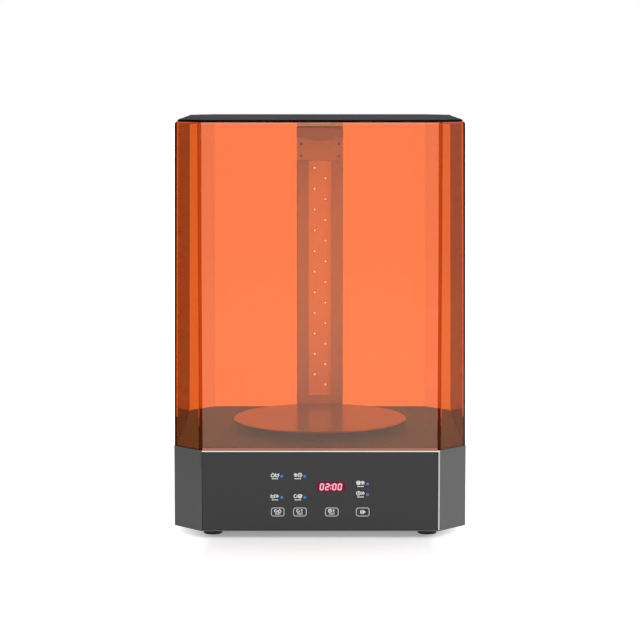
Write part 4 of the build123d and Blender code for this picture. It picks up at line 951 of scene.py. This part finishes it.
class STATION_OT_studio(bpy.types.Operator):
    """Adds the white floor, the lamps, the cards beside the object and the camera"""

    bl_idname = "station.studio"
    bl_label = "Studio"

    def execute(self, context):
        studio = context.scene.station_studio
        self.floor(studio.floor_glow, studio.far_glow)
        self.world(studio.ambient, studio.overhead)
        self.lamp("key_lamp", KEY_PLACE, studio.key)
        self.lamp("fill_lamp", FILL_PLACE, studio.fill)
        self.flag("left_flag", -CARD_ASIDE, LEFT_GREY)
        self.flag("right_flag", CARD_ASIDE, RIGHT_GREY)
        self.camera(studio)
        context.scene.view_settings.view_transform = "Standard"
        return {"FINISHED"}

    def floor(self, glow, far_glow):
        """A wide white floor that keeps the shadow under the object and glows for lens, gloss and glass.

        For the lens the glow grows from glow in a patch under the object to far_glow round it, so
        that the floor stays white beside the object and its shadow lies under and before it.
        """
        material, tree, out = blank("white_floor")
        place = place_of(tree)
        clouds = noise(tree, place, 3)
        tint = mottled(tree, clouds, (0.7, 0.7, 0.7), 0.01)
        paint = node(tree, "ShaderNodeBsdfDiffuse", {"Color": tint})
        apart = node(tree, "ShaderNodeSeparateXYZ", {0: moved(tree, "ABSOLUTE", place)}).outputs
        across = ranged(tree, apart["X"], *PATCH_ACROSS)
        outside = worked(tree, "MAXIMUM", across, ranged(tree, apart["Y"], *PATCH_DEPTH))
        path, seen = self.seen(tree)
        aside = ranged(tree, path["Is Camera Ray"], 0.0, 1.0, PATCH_ASIDE, outside)
        shown = worked(tree, "MULTIPLY", seen, ranged(tree, aside, 0.0, 1.0, glow, far_glow))
        light = node(tree, "ShaderNodeEmission", {"Strength": shown})
        both = node(tree, "ShaderNodeAddShader", {0: paint.outputs[0], 1: light.outputs[0]})
        tree.links.new(both.outputs[0], out.inputs["Surface"])
        places = np.linspace(-FLOOR_REACH, FLOOR_REACH, 2 * FLOOR_REACH + 1)
        x, y = np.meshgrid(places, places)
        self.sheet("floor", x, y, np.zeros_like(x), material)

    def sheet(self, name, x, y, z, material):
        """A flat sheet through a grid of points."""
        mesh = bpy.data.meshes.new(name)
        points = np.stack([x, y, z], -1).reshape(-1, 3)
        mesh.from_pydata(points.tolist(), [], quads(*x.shape, False, False).tolist())
        mesh.materials.append(material)
        made = bpy.data.objects.new(name, mesh)
        bpy.context.scene.collection.objects.link(made)
        return made

    def seen(self, tree):
        """The sockets of a ray's path, and 1 where a lens, gloss or glass looks."""
        path = node(tree, "ShaderNodeLightPath").outputs
        polished = worked(tree, "MAXIMUM", path["Is Glossy Ray"], path["Is Transmission Ray"])
        return path, worked(tree, "MAXIMUM", path["Is Camera Ray"], polished)

    def world(self, ambient, overhead):
        """White where a lens, gloss or glass looks, and a plain even light for everything else.

        Gloss sees it grow brighter from the horizon up, as under a wide overhead softbox.
        """
        world = bpy.data.worlds.new("studio")
        bpy.context.scene.world = world
        world.use_nodes = True
        tree = world.node_tree
        tree.nodes.clear()
        path, seen = self.seen(tree)
        plain = ranged(tree, seen, 0.0, 1.0, ambient)
        way = node(tree, "ShaderNodeTexCoord").outputs["Generated"]
        up = node(tree, "ShaderNodeSeparateXYZ", {0: way}).outputs["Z"]
        softbox = ranged(tree, up, *SOFTBOX, 0.0, overhead)
        gloss = worked(tree, "MULTIPLY", softbox, path["Is Glossy Ray"])
        strength = worked(tree, "ADD", plain, gloss)
        light = node(tree, "ShaderNodeBackground", {"Color": (1, 1, 1, 1), "Strength": strength})
        out = node(tree, "ShaderNodeOutputWorld")
        tree.links.new(light.outputs[0], out.inputs["Surface"])

    def lamp(self, name, place, power):
        """A square lamp that faces the middle of the object."""
        light = bpy.data.lights.new(name, "AREA")
        light.size = LAMP_SIZE
        light.energy = power
        made = bpy.data.objects.new(name, light)
        made.location = place
        direction = Vector(LAMP_AIM) - Vector(place)
        made.rotation_euler = direction.to_track_quat("-Z", "Y").to_euler()
        bpy.context.scene.collection.objects.link(made)

    def flag(self, name, x, grey):
        """An upright card beside the object that only gloss shows, as beside a product in a studio."""
        material, tree, out = blank(name)
        clouds = noise(tree, place_of(tree), 2)
        tint = mottled(tree, clouds, (grey, grey, grey), 0.1)
        paint = node(tree, "ShaderNodeBsdfDiffuse", {"Color": tint})
        tree.links.new(paint.outputs[0], out.inputs["Surface"])
        y, z = np.meshgrid(np.linspace(*CARD_DEPTH, 9), np.linspace(*CARD_HEIGHT, 9))
        card = self.sheet(name, np.full_like(y, x), y, z, material)
        card.visible_camera = card.visible_diffuse = card.visible_transmission = False
        card.visible_shadow = False

    def camera(self, studio):
        """A long lens in front, a little above the object, looking down by a few degrees."""
        lens = bpy.data.cameras.new("front_camera")
        lens.lens = studio.lens
        made = bpy.data.objects.new("front_camera", lens)
        made.location = (0, -studio.distance, studio.eye)
        made.rotation_euler = (math.pi / 2 - studio.tilt, 0, 0)
        bpy.context.scene.collection.objects.link(made)
        bpy.context.scene.camera = made


OPERATORS = (
    STATION_OT_base,
    STATION_OT_panel,
    STATION_OT_touch_keys,
    STATION_OT_indicators,
    STATION_OT_digits,
    STATION_OT_inner_parts,
    STATION_OT_switch_marks,
    STATION_OT_chamber,
    STATION_OT_column,
    STATION_OT_lamp_solder,
    STATION_OT_hood,
    STATION_OT_studio,
)


class STATION_PT_sidebar(bpy.types.Panel):
    """Sizes, colours and steps of the station"""

    bl_label = "Wash and cure station"
    bl_idname = "STATION_PT_sidebar"
    bl_space_type = "VIEW_3D"
    bl_region_type = "UI"
    bl_category = "Station"

    def draw(self, context):
        for name in ("station_marks", "station_colours", "station_studio"):
            group = getattr(context.scene, name)
            box = self.layout.box()
            for key in group.__annotations__:
                box.prop(group, key)
        for operator in OPERATORS:
            self.layout.operator(operator.bl_idname)


GROUPS = {
    "station_marks": StationMarks,
    "station_colours": StationColours,
    "station_studio": StationStudio,
}


def register():
    """Adds the classes, and the sizes and colours to the scene."""
    for group in GROUPS.values():
        bpy.utils.register_class(group)
    for operator in OPERATORS:
        bpy.utils.register_class(operator)
    bpy.utils.register_class(STATION_PT_sidebar)
    for name, group in GROUPS.items():
        setattr(bpy.types.Scene, name, bpy.props.PointerProperty(type=group))


def unregister():
    """Takes away what register added."""
    for name in GROUPS:
        delattr(bpy.types.Scene, name)
    bpy.utils.unregister_class(STATION_PT_sidebar)
    for operator in reversed(OPERATORS):
        bpy.utils.unregister_class(operator)
    for group in reversed(GROUPS.values()):
        bpy.utils.unregister_class(group)


def main():
    """Registers the classes, then runs every step in order."""
    register()
    for operator in OPERATORS:
        area, name = operator.bl_idname.split(".")
        getattr(getattr(bpy.ops, area), name)()


if __name__ == "__main__":
    main()
